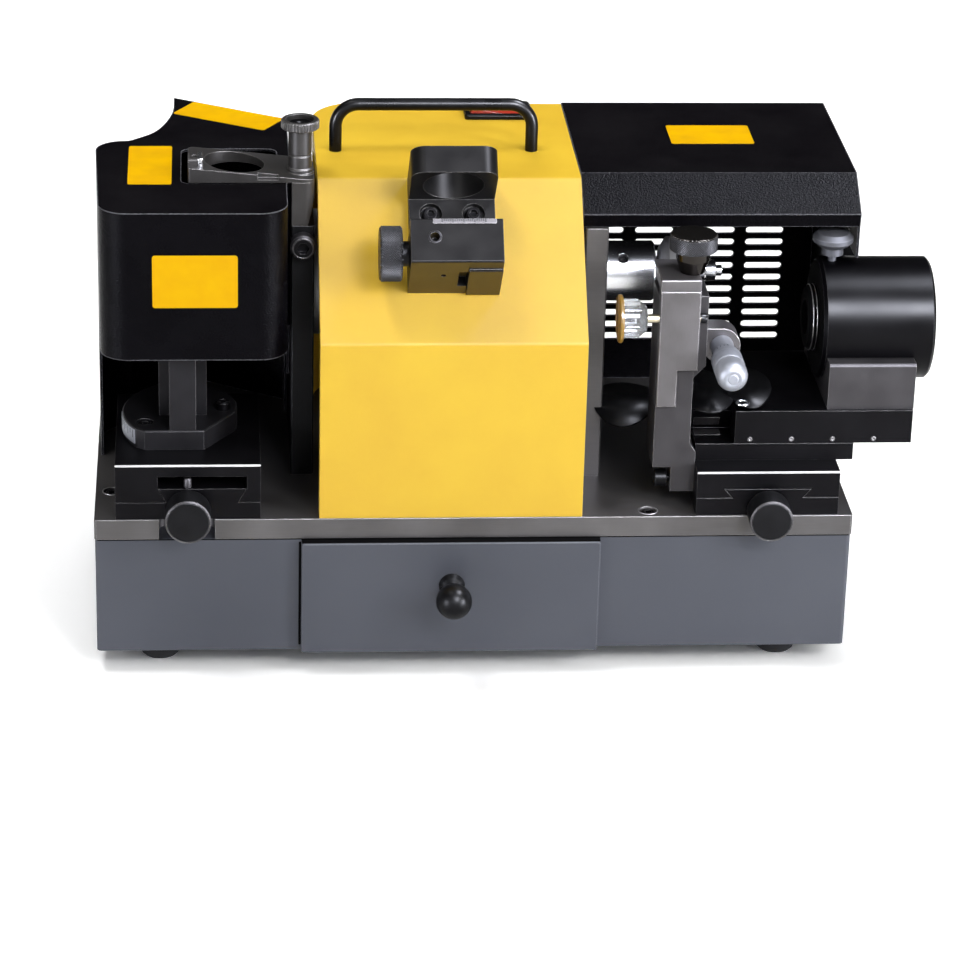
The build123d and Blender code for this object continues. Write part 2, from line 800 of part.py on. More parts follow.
def make_wheel_cover():
    z1 = cover_top_z
    s = guard_sheet
    shell = along_z(guard_outline(0), 0, z1) - along_z(guard_outline(s), -1, z1 - s)
    shell -= block(guard_left - 9, guard_tail_x + 5, guard_front - 5, guard_skirt_y, -2, guard_low)
    shell -= block(guard_neck_x + 10, guard_tail_x + 5, guard_skirt_y - 1, guard_tail_end - 20, -2,
                   guard_low - 40)
    way = block(guard_way_x0, guard_way_x1, arm_front + 0.6, guard_way_y1, z1 - 5, z1 + 5)
    shell -= fillet(way.edges().filter_by(Axis.Z), 6)
    return shell - rod_x(22.0, guard_tail_x - 8, guard_tail_x + 4, axis_y, axis_z)


def make_arm_post():
    x0, x1 = post_x, arm_right
    y0, y1 = arm_front, arm_front + post_d
    plan = outline([(x0, y0), (x1, y0), (x1, y1), (x0, y1)], {(x1, y0): 5, (x1, y1): 5})
    side = outline([(x0, plate_h), (post_foot_x, plate_h), (x1, post_turn_z), (x1, arm_z), (x0, arm_z)],
                   {(x1, post_turn_z): 14})
    body = along_z(plan, plate_h, arm_z) & along_y(side, y0 - 1, y1 + 1)
    return body - rod_z(pivot_r + run_fit, arm_z - 20, arm_z + 1, pivot_x, pivot_y)


def make_chuck_arm():
    x0, x1, y0, y1 = arm_left, arm_right, arm_front, arm_back
    top = arm_z + arm_t
    plan = outline([(x0, y0), (x1, y0), (x1, y1), (x0, y1)],
                   {(x1, y0): 5, (x1, y1): 8, (x0, y1): 4, (x0, y0): 1.5})
    arm = along_z(plan, arm_z, top)
    fall = outline([(x0 - 1, top + 1), (x0 - 1, top), (x0, top), (x1 + 1, top - arm_fall),
                    (x1 + 1, top + 1)])
    arm -= along_y(fall, y0 - 1, y1 + 1)
    arm += rod_z(lock_barrel_r + 1.4, arm_z, pivot_seat_z, pivot_x, pivot_y)
    arm -= rod_z(chuck_r, arm_z - 1, top + 1, arm_x, arm_y)
    arm -= rod_z(pivot_r + run_fit, arm_z - 1, top + 1, pivot_x, pivot_y)
    arm -= block(x0 - 1, key_right() + 0.1, key_back - key_d - 0.1, key_back + 0.1, key_low(), top + 1)
    slot = arm_x + chuck_r - 4
    return arm - block(slot, slot + 11.5, y0 - 1, y0 + 4, arm_z + 1.8, top + 1)


def key_right():
    """Where the index key ends, just short of the arm's bore."""
    return arm_x - chuck_r - 0.5


def key_low():
    """The floor of the index key's seat."""
    return arm_z + arm_t - 2.2


def make_index_key():
    key = block(arm_left, key_right(), key_back - key_d, key_back, key_low(), key_low() + key_h)
    key = chamfer(key.edges().group_by(Axis.Z)[-1], 0.7)
    return key - rod_z(1.8, key_low() + 2, key_low() + key_h + 1, arm_left + 4, key_back - key_d / 2)


def make_lock_knob():
    r = lock_barrel_r
    g = lock_groove
    stem = turned([(0, -pivot_len), (pivot_r, -pivot_len), (pivot_r, 0.1), (r + 0.7, 0.1), (r + 0.7, 1.6),
                   (r, 2.2), (r, g), (r - 0.5, g + 0.4), (r - 0.5, g + 1.2), (r, g + 1.6), (r, lock_neck),
                   (0, lock_neck)], (pivot_x, pivot_y, pivot_seat_z), (0, 0, 1))
    z = pivot_seat_z
    head = knurled(lock_head_r, 0.5, z + lock_neck, z + lock_h, pivot_x, pivot_y, 36)
    return stem + head - rod_z(lock_head_r - 2.7, z + lock_h - 3.2, z + lock_h + 1, pivot_x, pivot_y)


def slide_base(x0, front, length, base_z, ridge_z, mid, screw_x, screw_z):
    """A slide's fixed half: a slab with a dovetail on top and a slot for the feed nut."""
    shape = outline([(x0, 0), (x0 + slide_w, 0), (x0 + slide_w, base_z), (mid + way_half, base_z),
                     (mid + way_half + way_flare, ridge_z), (mid - way_half - way_flare, ridge_z),
                     (mid - way_half, base_z), (x0, base_z)])
    base = along_y(shape, front, front + length)
    slot = block(screw_x - nut_half - 1, screw_x + nut_half + 1, front + web, front + length - web, -1,
                 ridge_z + 1)
    base -= fillet(slot.edges().filter_by(Axis.Z), 3)
    return base - rod_y(feed_r + run_fit, front - 1, front + length + 1, screw_x, screw_z)


def slide_saddle(x0, front, length, base_z, ridge_z, ceiling, top, mid, nut):
    """A slide's moving half: a slab with the dovetail's groove below and the feed nut in the groove."""
    g = slide_gap
    shape = outline([(x0, base_z + 2 * g), (mid - way_half - 2 * g, base_z + 2 * g),
                     (mid - way_half - way_flare - 2 * g, ridge_z + g),
                     (mid - way_half - way_flare - 2 * g, ceiling),
                     (mid + way_half + way_flare + 2 * g, ceiling),
                     (mid + way_half + way_flare + 2 * g, ridge_z + g),
                     (mid + way_half + 2 * g, base_z + 2 * g), (x0 + slide_w, base_z + 2 * g),
                     (x0 + slide_w, top),
                     (x0, top)])
    saddle = along_y(shape, front, front + length)
    saddle = chamfer(saddle.edges().filter_by(Axis.X).group_by(Axis.Z)[-1], 0.8)
    return saddle + nut


def feed_nut(screw_x, screw_z, y0, low, ceiling):
    """The block under a saddle that the feed screw runs through."""
    nut = block(screw_x - nut_half, screw_x + nut_half, y0, y0 + nut_len, low, ceiling)
    return nut - rod_y(feed_r + run_fit, y0 - 1, y0 + nut_len + 1, screw_x, screw_z)


def feed_screw(screw_x, screw_z, front, length, r):
    """A feed screw with its knob in front of the slide."""
    neck = 2.5
    shape = [(0, -length + 4), (feed_r, -length + 4), (feed_r, slide_gap), (4.0, slide_gap), (4.0, neck),
             (r - 1.2, neck), (r, neck + 1.2), (r, neck + feed_knob_len - 1.2),
             (r - 1.2, neck + feed_knob_len),
             (0, neck + feed_knob_len)]
    return turned(shape, (screw_x, front, screw_z), (0, -1, 0))


def swivel_place(across, back):
    """A place on the swivel, as shares of its radius from its centre."""
    return (swivel_x + across * swivel_r, swivel_y + back * swivel_r)


def make_swivel_base():
    z0 = left_saddle_z + 0.1
    z1 = z0 + swivel_t
    a, b, c = swivel_place(-0.63, -0.99), swivel_place(0.35, -0.99), swivel_place(0.88, -0.18)
    d, e, f = swivel_place(0.18, 1.03), swivel_place(-0.41, 1.04), swivel_place(-0.76, -0.88)
    rim = make_face([Line(a, b), Line(b, c), ThreePointArc(c, swivel_place(0.76, 0.59), d), Line(d, e),
                     ThreePointArc(e, swivel_place(-1.0, 0.06), f), Line(f, a)])
    disc = along_z(rim, z0, z1)
    disc = chamfer(disc.faces().sort_by(Axis.Z)[-1].edges(), 0.6)
    for (x, y), sunk in swivel_screw_places():
        disc -= rod_z(m5_r + bore_room, z0 - 1, z1 + 1, x, y)
        disc -= rod_z(m5_head_r + bore_room, z1 - sunk, z1 + 1, x, y)
    return disc - rod_z(6 + run_fit, z0 - 1, z0 + 6, swivel_x, swivel_y)


def swivel_screw_places():
    """The places of the two screws that clamp the swivel, and how deep each head is sunk."""
    return [(swivel_place(-0.63, -0.60), m5_head_h + 0.4), (swivel_place(0.67, -0.05), 0.0)]


def make_swivel_screws():
    top = left_saddle_z + 0.1 + swivel_t
    screws = []
    for (x, y), sunk in swivel_screw_places():
        screws.append(Pos(x, y, top - sunk) * cap_screw(m5_head_r, m5_head_h, m5_r, swivel_t - sunk - 1,
                                                        2.3))
    return Compound(children=screws)


def make_rest_post():
    z0 = left_saddle_z + 0.1 + swivel_t
    shape = outline([(swivel_x - rib_w / 2, rib_front), (swivel_x + rib_w / 2, rib_front),
                     (swivel_x + rib_w / 2, web_y0), (swivel_x + web_w / 2, web_y0),
                     (swivel_x + web_w / 2, web_y1),
                     (swivel_x - web_w / 2, web_y1), (swivel_x - web_w / 2, web_y0),
                     (swivel_x - rib_w / 2, web_y0)])
    post = along_z(shape, z0, post_top)
    cut = outline([(rib_front - 1, post_top + 1), (rib_front - 1, post_top - 9),
                   (rib_front + 14, post_top + 1)])
    return post - along_x(cut, swivel_x - web_w, swivel_x + web_w) + rest_finger()


def rest_finger():
    """The finger beside the post that the tooth lies on."""
    x0 = swivel_x + rib_w / 2
    shape = outline([(x0, finger_z), (x0 + finger_len, finger_z + 4), (x0 + finger_len, finger_z + 6),
                     (x0, finger_z + 8)])
    return along_y(shape, rib_front + 6, rib_front + 15)


# Right side

def make_cross_guide():
    y0, y1 = cross_front, cross_front + cross_d
    m = cross_mid_y
    shape = outline([(y0, right_saddle_z), (y1, right_saddle_z), (y1, guide_z), (m + guide_half, guide_z),
                     (m + guide_half + guide_flare, guide_top), (m - guide_half - guide_flare, guide_top),
                     (m - guide_half, guide_z), (y0, guide_z)])
    return along_x(shape, guide_x0, guide_x1)


def make_cross_slide():
    y0, y1 = cross_front, cross_front + cross_d
    m = cross_mid_y
    g = slide_gap
    f = guide_half + guide_flare + 2 * g
    h = guide_half + 2 * g
    shape = outline([(y0, guide_z + g), (m - h, guide_z + g), (m - f, guide_top + g),
                     (m + f, guide_top + g),
                     (m + h, guide_z + g), (y1, guide_z + g), (y1, cross_top), (y0, cross_top)])
    body = along_x(shape, cross_x0, cross_x1)
    for x in gib_at:
        body -= rod_y(gib_r + run_fit, y0 - 1, y0 + 9, x, gib_z)
    return body


def make_cradle():
    y0, y1 = cross_front + cradle_inset, cross_front + cross_d - cradle_inset
    shape = outline([(y0, cross_top), (y1, cross_top), (y1, cradle_top), (y0, cradle_top)],
                    {(y0, cradle_top): 2.0, (y1, cradle_top): 2.0})
    return along_x(shape, cradle_x0, cradle_x1) - rod_x(head_r, cradle_x0 - 1, cradle_x1 + 1, cross_mid_y,
                                                        head_z)


def make_work_head():
    x0, x1 = head_x0, head_x1
    r = head_r
    bore = work_r + run_fit
    tube = turned([(bore, x0), (r - 2, x0), (r, x0 + 2), (r, x1 - 1.5), (r - 1.5, x1), (bore, x1)],
                  (0, cross_mid_y, head_z), (1, 0, 0))
    return tube - rod_z(plunger_pin_r + run_fit, head_z + work_r, head_z + r + 2, plunger_x, cross_mid_y)


def make_work_spindle():
    x0, x1 = head_x0, head_x1
    shape = [(collet_r, x0 - nose_len), (nose_r - 2, x0 - nose_len), (nose_r, x0 - nose_len + 2),
             (nose_r, x0 - 0.3),
             (work_r, x0 - 0.3), (work_r, x1 - 1.0), (collet_r, x1 - 1.0)]
    return turned(shape, (0, cross_mid_y, head_z), (1, 0, 0))


def make_plunger():
    z = head_z + math.sqrt(head_r ** 2 - plunger_stem_r ** 2)
    top = head_z + head_r + plunger_h
    r, s = plunger_head_r, plunger_stem_r
    low = head_z + work_r + 6
    pin = plunger_pin_r
    shape = [(0, low), (pin, low), (pin, z + 4.5), (s, z + 4.5), (s, top - 10), (r - 2, top - 8),
             (r, top - 6),
             (r, top - 3.5), (r - 2.5, top - 1), (0, top)]
    return turned(shape, (plunger_x, cross_mid_y, 0), (0, 0, 1))


def make_rest_bracket():
    low = outline([(screw_notch_x, rest_low), (right_x, rest_low), (right_x, foot_z), (rest_x1, foot_z + 6),
                   (rest_x1, rest_shelf), (rest_x0, rest_shelf), (rest_x0, screw_notch_z),
                   (screw_notch_x, screw_notch_z)])
    high = outline([(rest_x0, rest_shelf), (rest_x1, rest_shelf), (rest_x1, lug_z - 8), (lug_x, lug_z),
                    (lug_x, rest_top), (rest_x0, rest_top)])
    back = lift_front + lift_t + 0.4
    body = along_y(low, rest_front, rest_back) + along_y(high, back, rest_back)
    leg_side = lift_step_x + slide_gap
    body += block(leg_side, rest_x1, rest_front, back, rest_shelf, lift_step - slide_gap)
    mid = rest_x0 + 10.4
    half = slide_key_w / 2 + slide_gap
    body -= block(mid - half, mid + half, back - 1, back + slide_key_d + slide_gap, rest_shelf,
                  rest_top + 1)
    body -= rod_z(raise_r + run_fit, rest_top - 30, rest_top + 1, raise_x, raise_y)
    body -= block(right_x - 0.1, right_x + 1, rest_front - 1, rest_back + 1, 0, right_base_z + 1.5)
    return body - rod_x(2.0 + run_fit, screw_notch_x - 1, right_x - 4, thumb_y, thumb_z)


def make_height_slide():
    y0, y1 = lift_front, lift_front + lift_t
    shape = outline([(rest_x0, lift_low), (lift_step_x, lift_low), (lift_step_x, lift_step),
                     (lift_x1, lift_step),
                     (lift_x1, lift_top), (rest_x0, lift_top)])
    plate = along_y(shape, y0, y1)
    plate = chamfer(plate.faces().sort_by(Axis.Y)[0].edges(), 0.6)
    mid = rest_x0 + 10.4
    key = block(mid - slide_key_w / 2, mid + slide_key_w / 2, y1, y1 + 0.4 + slide_key_d, rest_shelf + 6,
                rest_top - 2)
    return plate + key - rod_x(2.5 + run_fit, rest_x0 - 1, lift_x1 + 1, y0 + lift_t / 2, stop_z)


def make_slide_cap():
    cap = block(rest_x0, lift_x1, lift_front, rest_back, lift_top, lift_top + cap_t)
    cap = fillet(cap.edges().filter_by(Axis.Z).sort_by_distance((lift_x1, lift_front, lift_top))[0], 1)
    cap = chamfer(cap.faces().sort_by(Axis.Z)[-1].edges(), 0.5)
    return cap - rod_z(raise_r + run_fit, lift_top - 1, lift_top + cap_t + 1, raise_x, raise_y)


def make_height_knob():
    z = lift_top + cap_t
    n = raise_neck
    stem = turned([(0, -24), (raise_r, -24), (raise_r, 0.2), (6.8, 0.2), (9.4, 8.0), (9.4, n), (0, n)],
                  (raise_x, raise_y, z), (0, 0, 1))
    return stem + knurled(raise_knob_r, 0.6, z + n, z + n + raise_knob_h, raise_x, raise_y, 36)


def make_stop_screw():
    y = lift_front + lift_t / 2
    return turned([(0, rest_x0 - 7.2), (2.5, rest_x0 - 7.2), (2.5, lift_x1 + 2), (1.6, lift_x1 + 3.5),
                   (0, lift_x1 + 3.5)], (0, y, stop_z), (1, 0, 0))


def make_stop_knob():
    y = lift_front + lift_t / 2
    x1 = rest_x0 - 7.2
    grip = turned([(0, x1 - 13.5), (stop_knob_r, x1 - 13.5), (stop_knob_r, x1 - 5), (7.0, x1), (0, x1)],
                  (0, y, stop_z), (1, 0, 0))
    for i in range(8):
        a = 2 * math.pi * i / 8
        grip -= rod_x(2.4, x1 - 15, x1 + 1, y + (stop_knob_r + 1) * math.cos(a),
                      stop_z + (stop_knob_r + 1) * math.sin(a))
    return grip


def make_stop_disc():
    y = lift_front + lift_t / 2
    x1 = rest_x0 - 7.2 - 13.5
    disc = rod_x(stop_disc_r, x1 - stop_disc_t, x1, y, stop_z)
    return chamfer(disc.edges().filter_by(GeomType.CIRCLE), 0.6)


def make_thumb_screw():
    x = screw_notch_x - 0.4
    return turned([(0, x - 8.5), (thumb_r - 0.6, x - 8.5), (thumb_r, x - 7.9), (thumb_r, x - 1.6),
                   (2.0, x - 1.0),
                   (2.0, right_x - 5), (0, right_x - 5)], (0, thumb_y, thumb_z), (1, 0, 0))


def make_micrometer_clamp():
    y0, y1 = mic_clamp_y0, mic_clamp_y0 + mic_clamp_len
    ring = rod_y(mic_clamp_r, y0, y1, mic_x, mic_z) & block(lug_x, mic_x + 20, y0, y1, mic_z - 20,
                                                            mic_z + 20)
    arm = block(lug_x, mic_x, y0, y1, mic_z - 5, mic_z + mic_clamp_r)
    ear = block(mic_x - 4, mic_x + 4, y0, y1, mic_z - mic_clamp_r - 4, mic_z - mic_clamp_r + 2)
    body = ring + arm + ear - rod_y(mic_body_r + 0.02, y0 - 1, y1 + 1, mic_x, mic_z)
    return body - block(mic_x - 0.8, mic_x + 0.8, y0 - 1, y1 + 1, mic_z - mic_clamp_r - 5, mic_z)


def make_micrometer_sleeve():
    y0, y1 = mic_sleeve_y0, mic_clamp_y0
    bore = mic_spindle_r + run_fit
    end = mic_clamp_y0 + mic_clamp_len + 3
    return turned([(bore, y0), (mic_sleeve_r, y0), (mic_sleeve_r, y1), (mic_body_r, y1),
                   (mic_body_r, end), (bore, end)],
                  (mic_x, 0, mic_z), (0, 1, 0))


def make_micrometer_spindle():
    y0 = thimble_y0 + thimble_wall
    r = mic_spindle_r
    return turned([(0, y0), (r, y0), (r, mic_tip_y - 2), (r - 1.4, mic_tip_y - 0.4), (0, mic_tip_y)],
                  (mic_x, 0, mic_z), (0, 1, 0))


def make_micrometer_thimble():
    y0, y1 = thimble_y0, thimble_y0 + thimble_len
    r = thimble_r
    bore = mic_sleeve_r + 0.3
    return turned([(0, y0), (r - 4.5, y0), (r - 1.5, y0 + 1.6), (r, y0 + 4.5), (r, y1 - 5),
                   (bore + 0.8, y1), (bore, y1),
                   (bore, y0 + thimble_wall), (0, y0 + thimble_wall)], (mic_x, 0, mic_z), (0, 1, 0))


def hood_outline(k):
    """The hood's side outline, moved in by k."""
    return outline([(hood_lip_y() + k, hood_lip_z - bool(k)),
                    (hood_nose_y + 1.05 * k, hood_nose_z - 0.3 * k),
                    (hood_top_y + 0.3 * k, cover_top_z - k), (hood_back + bool(k), cover_top_z - k),
                    (hood_back + bool(k), hood_lip_z - bool(k))])


def hood_lip_y():
    """How far back the hood's lower lip ends."""
    return hood_nose_y + 1.8


def hood_side():
    """The hood's end wall, arched over the work head as it travels."""
    low, lip, r = hood_side_low, hood_lip_y(), head_r + hood_gap
    mid = cross_mid_y + head_reach
    points = [(mid + r, head_z), (mid + r, head_z - 8), (hood_side_y, head_z - 8), (hood_side_y, 0),
              (hood_back, 0), (hood_back, cover_top_z), (hood_top_y, cover_top_z),
              (hood_nose_y, hood_nose_z), (lip, hood_lip_z), (lip, low), (mid, low)]
    path = [Line(a, b) for a, b in zip(points, points[1:])]
    return make_face([*path, CenterArc((mid, head_z), r, 90, -90)])


def make_right_hood():
    s = hood_sheet
    x_side = hood_x1 - s
    skin = along_x(hood_outline(0), hood_x0, x_side) - along_x(hood_outline(s), hood_x0 - 1, x_side + 1)
    return skin + along_x(hood_side(), x_side, hood_x1)


def make_rear_panel():
    x0, x1 = plate_right_out - 8, hood_x1 - hood_sheet
    y1 = hood_back
    panel = block(x0, x1, y1 - hood_sheet, y1, 0, cover_top_z - hood_sheet)
    cuts = []
    for i, across in enumerate(slot_at):
        for j in range(slot_rows - bool(i)):
            place = Pos(slot_x0 + across, slot_z0 + j * slot_pitch_z)
            cuts.append(place * SlotOverall(slot_len, slot_h))
    return panel - along_y(Sketch(children=cuts), y1 - 5, y1 + 5)


def make_dust_flap():
    z = cross_top + flap_gap
    t = flap_t
    low, dip = z - flap_drop, z - flap_dip
    x_hang, x_flat = rest_x0 - flap_drop, rest_x0 + 4
    end = rest_x0 + flap_end
    lower = Spline([(x_hang, low), (x_flat - 10, dip), (x_flat, z)], tangents=[(0.5, 1), (1, 0)])
    upper = Spline([(x_flat, z + t), (x_flat - 10.6, dip + t), (x_hang - t, low)],
                   tangents=[(-1, 0), (-0.5, -1)])
    sheet = make_face([lower, Line((x_flat, z), (end, z)), Line((end, z), (end, z + t)),
                       Line((end, z + t), (x_flat, z + t)), upper, Line((x_hang - t, low), (x_hang, low))])
    lobes = Sketch()
    for x, y, r in flap_lobes:
        lobes += Pos(rest_x0 + x, y) * Circle(r)
    flap = along_y(sheet, 0, 110) & along_z(lobes, z - 40, z + 20)
    keep_off = block(rest_x0 - 0.2, rest_x1 + 0.2, 0, rest_back, z - 40, z + 20)
    return flap - keep_off


def all_pieces():
    """Every piece by node name."""
    lm, rm = left_mid, right_mid
    left_way = lm + left_way_dx
    return {
        "base_box": make_base_box(),
        "rubber_feet": make_feet(),
        "bed_plate": make_bed_plate(),
        "cap_screws": make_cap_screws(),
        "drawer_tray": make_drawer_tray(),
        "drawer_front": make_drawer_front(),
        "drawer_pull": make_drawer_pull(),
        "cable_gland": make_cable_gland(),
        "left_bearing_plate": make_left_plate(),
        "right_bearing_plate": make_bearing_plate(plate_right_x, plate_front_right),
        "motor_body": make_motor_body(),
        "shaft_bearings": make_bearings(),
        "motor_shaft": make_shaft(),
        "left_wheel": make_left_wheel(),
        "wheel_clamps": make_wheel_clamps(),
        "spindle_tube": make_spindle_tube(),
        "right_wheel": make_right_wheel(),
        "motor_cover": make_motor_cover(),
        "carry_handle": make_handle(),
        "switch_bezel": make_switch_bezel(),
        "switch_rocker": make_switch_rocker(),
        "setting_seat": make_setting_seat(),
        "setting_block": make_setting_block(),
        "setting_gauge": make_setting_gauge(),
        "setting_knob": make_setting_knob(),
        "wheel_cover": make_wheel_cover(),
        "arm_post": make_arm_post(),
        "chuck_arm": make_chuck_arm(),
        "index_key": make_index_key(),
        "lock_knob": make_lock_knob(),
        "left_slide_base": slide_base(left_x, left_front, left_base_len, left_base_z, left_ridge_z,
                                      left_way, lm,
                                      left_knob_z),
        "left_saddle": slide_saddle(left_x, left_front, left_saddle_len, left_base_z, left_ridge_z,
                                    left_ceiling_z,
                                    left_saddle_z, left_way,
                                    feed_nut(lm, left_knob_z, left_front + 45, 1.0, left_ceiling_z)),
        "left_feed_screw": feed_screw(lm, left_knob_z, left_front, left_base_len, left_knob_r),
        "swivel_base": make_swivel_base(),
        "swivel_screws": make_swivel_screws(),
        "rest_post": make_rest_post(),
        "right_slide_base": slide_base(right_x, right_front, right_base_len, right_base_z, right_ridge_z,
                                       rm, rm,
                                       right_knob_z),
        "right_saddle": slide_saddle(right_x, right_front, right_saddle_len, right_base_z, right_ridge_z,
                                     right_ridge_z + 0.6, right_saddle_z, rm,
                                     feed_nut(rm, right_knob_z, right_front + 40, 0.8,
                                              right_ridge_z + 0.6)),
        "right_feed_screw": feed_screw(rm, right_knob_z, right_front, right_base_len, right_knob_r),
        "cross_guide": make_cross_guide(),
        "cross_slide": make_cross_slide(),
        "cradle": make_cradle(),
        "work_head": make_work_head(),
        "work_spindle": make_work_spindle(),
        "index_plunger": make_plunger(),
        "rest_bracket": make_rest_bracket(),
        "height_slide": make_height_slide(),
        "slide_cap": make_slide_cap(),
        "height_knob": make_height_knob(),
        "stop_screw": make_stop_screw(),
        "stop_knob": make_stop_knob(),
        "stop_disc": make_stop_disc(),
        "thumb_screw": make_thumb_screw(),
        "micrometer_clamp": make_micrometer_clamp(),
        "micrometer_sleeve": make_micrometer_sleeve(),
        "micrometer_spindle": make_micrometer_spindle(),
        "micrometer_thimble": make_micrometer_thimble(),
        "right_hood": make_right_hood(),
        "rear_panel": make_rear_panel(),
        "dust_flap": make_dust_flap(),
    }


os.makedirs("parts", exist_ok=True)
for name, piece in all_pieces().items():
    export_step(frame * piece, f"parts/{name}.step")
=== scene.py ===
"""Looks of a bench grinder for end mills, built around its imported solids."""
import logging
import math
from dataclasses import dataclass, field, replace
from enum import Enum

import bmesh
import bpy
from mathutils import Matrix, Vector


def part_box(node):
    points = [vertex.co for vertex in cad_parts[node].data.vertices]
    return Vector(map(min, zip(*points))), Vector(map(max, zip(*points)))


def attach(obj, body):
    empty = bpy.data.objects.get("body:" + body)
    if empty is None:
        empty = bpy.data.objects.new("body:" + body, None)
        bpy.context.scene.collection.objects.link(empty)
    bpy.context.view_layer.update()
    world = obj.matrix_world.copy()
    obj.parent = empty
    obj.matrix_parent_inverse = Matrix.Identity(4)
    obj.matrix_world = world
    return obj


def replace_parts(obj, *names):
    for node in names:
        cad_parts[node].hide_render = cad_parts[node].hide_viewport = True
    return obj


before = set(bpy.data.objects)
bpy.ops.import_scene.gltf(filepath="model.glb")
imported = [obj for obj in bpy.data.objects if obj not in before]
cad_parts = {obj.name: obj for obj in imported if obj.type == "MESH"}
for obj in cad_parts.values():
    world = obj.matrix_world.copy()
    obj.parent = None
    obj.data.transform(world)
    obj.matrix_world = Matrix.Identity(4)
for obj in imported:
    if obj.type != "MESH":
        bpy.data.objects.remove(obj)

LOG = logging.getLogger("grinder")
MM = 0.001
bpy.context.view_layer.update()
BED_LOW, BED_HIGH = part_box("bed_plate")
# Left front corner of the bed's top: every place below is in millimetres from here.
BED = Matrix.Translation((BED_LOW.x, BED_LOW.y, BED_HIGH.z))

Point = tuple[float, float, float]
# A turned form's outline: each point is a radius and a height along the piece's own Z.
Outline = tuple[tuple[float, float], ...]
Tree = bpy.types.NodeTree
Socket = bpy.types.NodeSocket


class Facing(Enum):
    """The way a piece's own Z points, as the turn that takes it there."""

    UP = Matrix.Identity(4)
    FRONT = Matrix.Rotation(math.pi / 2, 4, "X")
    BACK = Matrix.Rotation(-math.pi / 2, 4, "X")
    RIGHT = Matrix.Rotation(math.pi / 2, 4, "Y")
    LEFT = Matrix.Rotation(-math.pi / 2, 4, "Y")


def place(x: float, y: float, z: float, facing: Facing = Facing.UP, turn_deg: float = 0.0) -> Matrix:
    """Finds where a piece goes on the machine.

    Args:
        x: millimetres right of the bed's left end.
        y: millimetres back from the bed's front edge.
        z: millimetres over the bed.
        facing: the way the piece's own Z points.
        turn_deg: the turn about that Z.

    Returns:
        The move from the piece's own place, in metres.
    """
    turn = Matrix.Rotation(math.radians(turn_deg), 4, "Z")
    return BED @ Matrix.Translation((x * MM, y * MM, z * MM)) @ facing.value @ turn


def box_of(node: str) -> tuple[Vector, Vector]:
    """Gives a solid's two corners in the bed's millimetres.

    Args:
        node: the solid's name.

    Returns:
        The low corner and the high corner.
    """
    low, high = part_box(node)
    back = BED.inverted()
    return back @ Vector(low) / MM, back @ Vector(high) / MM


def middle_of(node: str) -> Vector:
    """Gives the middle of a solid's box in the bed's millimetres."""
    low, high = box_of(node)
    return (low + high) / 2


def linear(colour: str) -> tuple[float, float, float, float]:
    """Turns an sRGB hex colour to linear.

    Args:
        colour: six hex digits after a hash sign.

    Returns:
        Linear red, green and blue with an alpha of 1.
    """
    parts = [int(colour[i:i + 2], 16) / 255 for i in (1, 3, 5)]
    lit = [c / 12.92 if c <= 0.04045 else ((c + 0.055) / 1.055) ** 2.4 for c in parts]
    return (*lit, 1.0)


def add_node(tree: Tree, kind: str, inputs: dict | None = None, **settings) -> bpy.types.Node:
    """Adds a shader node with its settings and links.

    Args:
        tree: the material's or world's node tree.
        kind: the node's type name.
        inputs: socket name or number to a value, or to an output socket to link.
        **settings: the node's own properties.

    Returns:
        The node.
    """
    made = tree.nodes.new(kind)
    for key, value in settings.items():
        setattr(made, key, value)
    for key, value in (inputs or {}).items():
        if isinstance(value, Socket):
            tree.links.new(value, made.inputs[key])
        else:
            made.inputs[key].default_value = value
    return made


def bare_material(name: str) -> bpy.types.Material:
    """Makes a material whose node tree is empty.

    Args:
        name: the material's name.

    Returns:
        The material.
    """
    material = bpy.data.materials.new(name)
    material.use_nodes = True
    material.node_tree.nodes.clear()
    return material


# Grinding dust: fine grey swarf and grit, a thin film on flat tops, which also darkens the light tops as
# painted shade. The share is where it lies thickest.
DUST_AND_SHADE = "#4A4848"
DUST_AND_SHADE_SHARE = 0.14
# A face becomes a top, or an underside, as its normal's Z passes from the first value to the second.
TOP_TILT = (0.93, 0.99)
UNDER_TILT = (-0.3, -0.6)
# Noise keeps close to a half, so these stretches of it are spread over the whole tint or roughness.
TINT_NOISE = (0.35, 0.65)
ROUGH_NOISE = (0.3, 0.7)
# How far the rounded normal has left the true one, as their dot product, where the pale edge of wear and
# painted highlight starts and is full.
EDGE_BEND = (0.985, 0.86)
# The stretch of grain that breaks the pale edge of wear and painted highlight up, and the share of it that is
# left at its low end.
WEAR_GLINT_GRAIN = (0.3, 0.6)
WEAR_GLINT_LEAST = 0.35


def even(size: float) -> Point:
    """Gives a grain of the same size along X, Y and Z."""
    return (size, size, size)


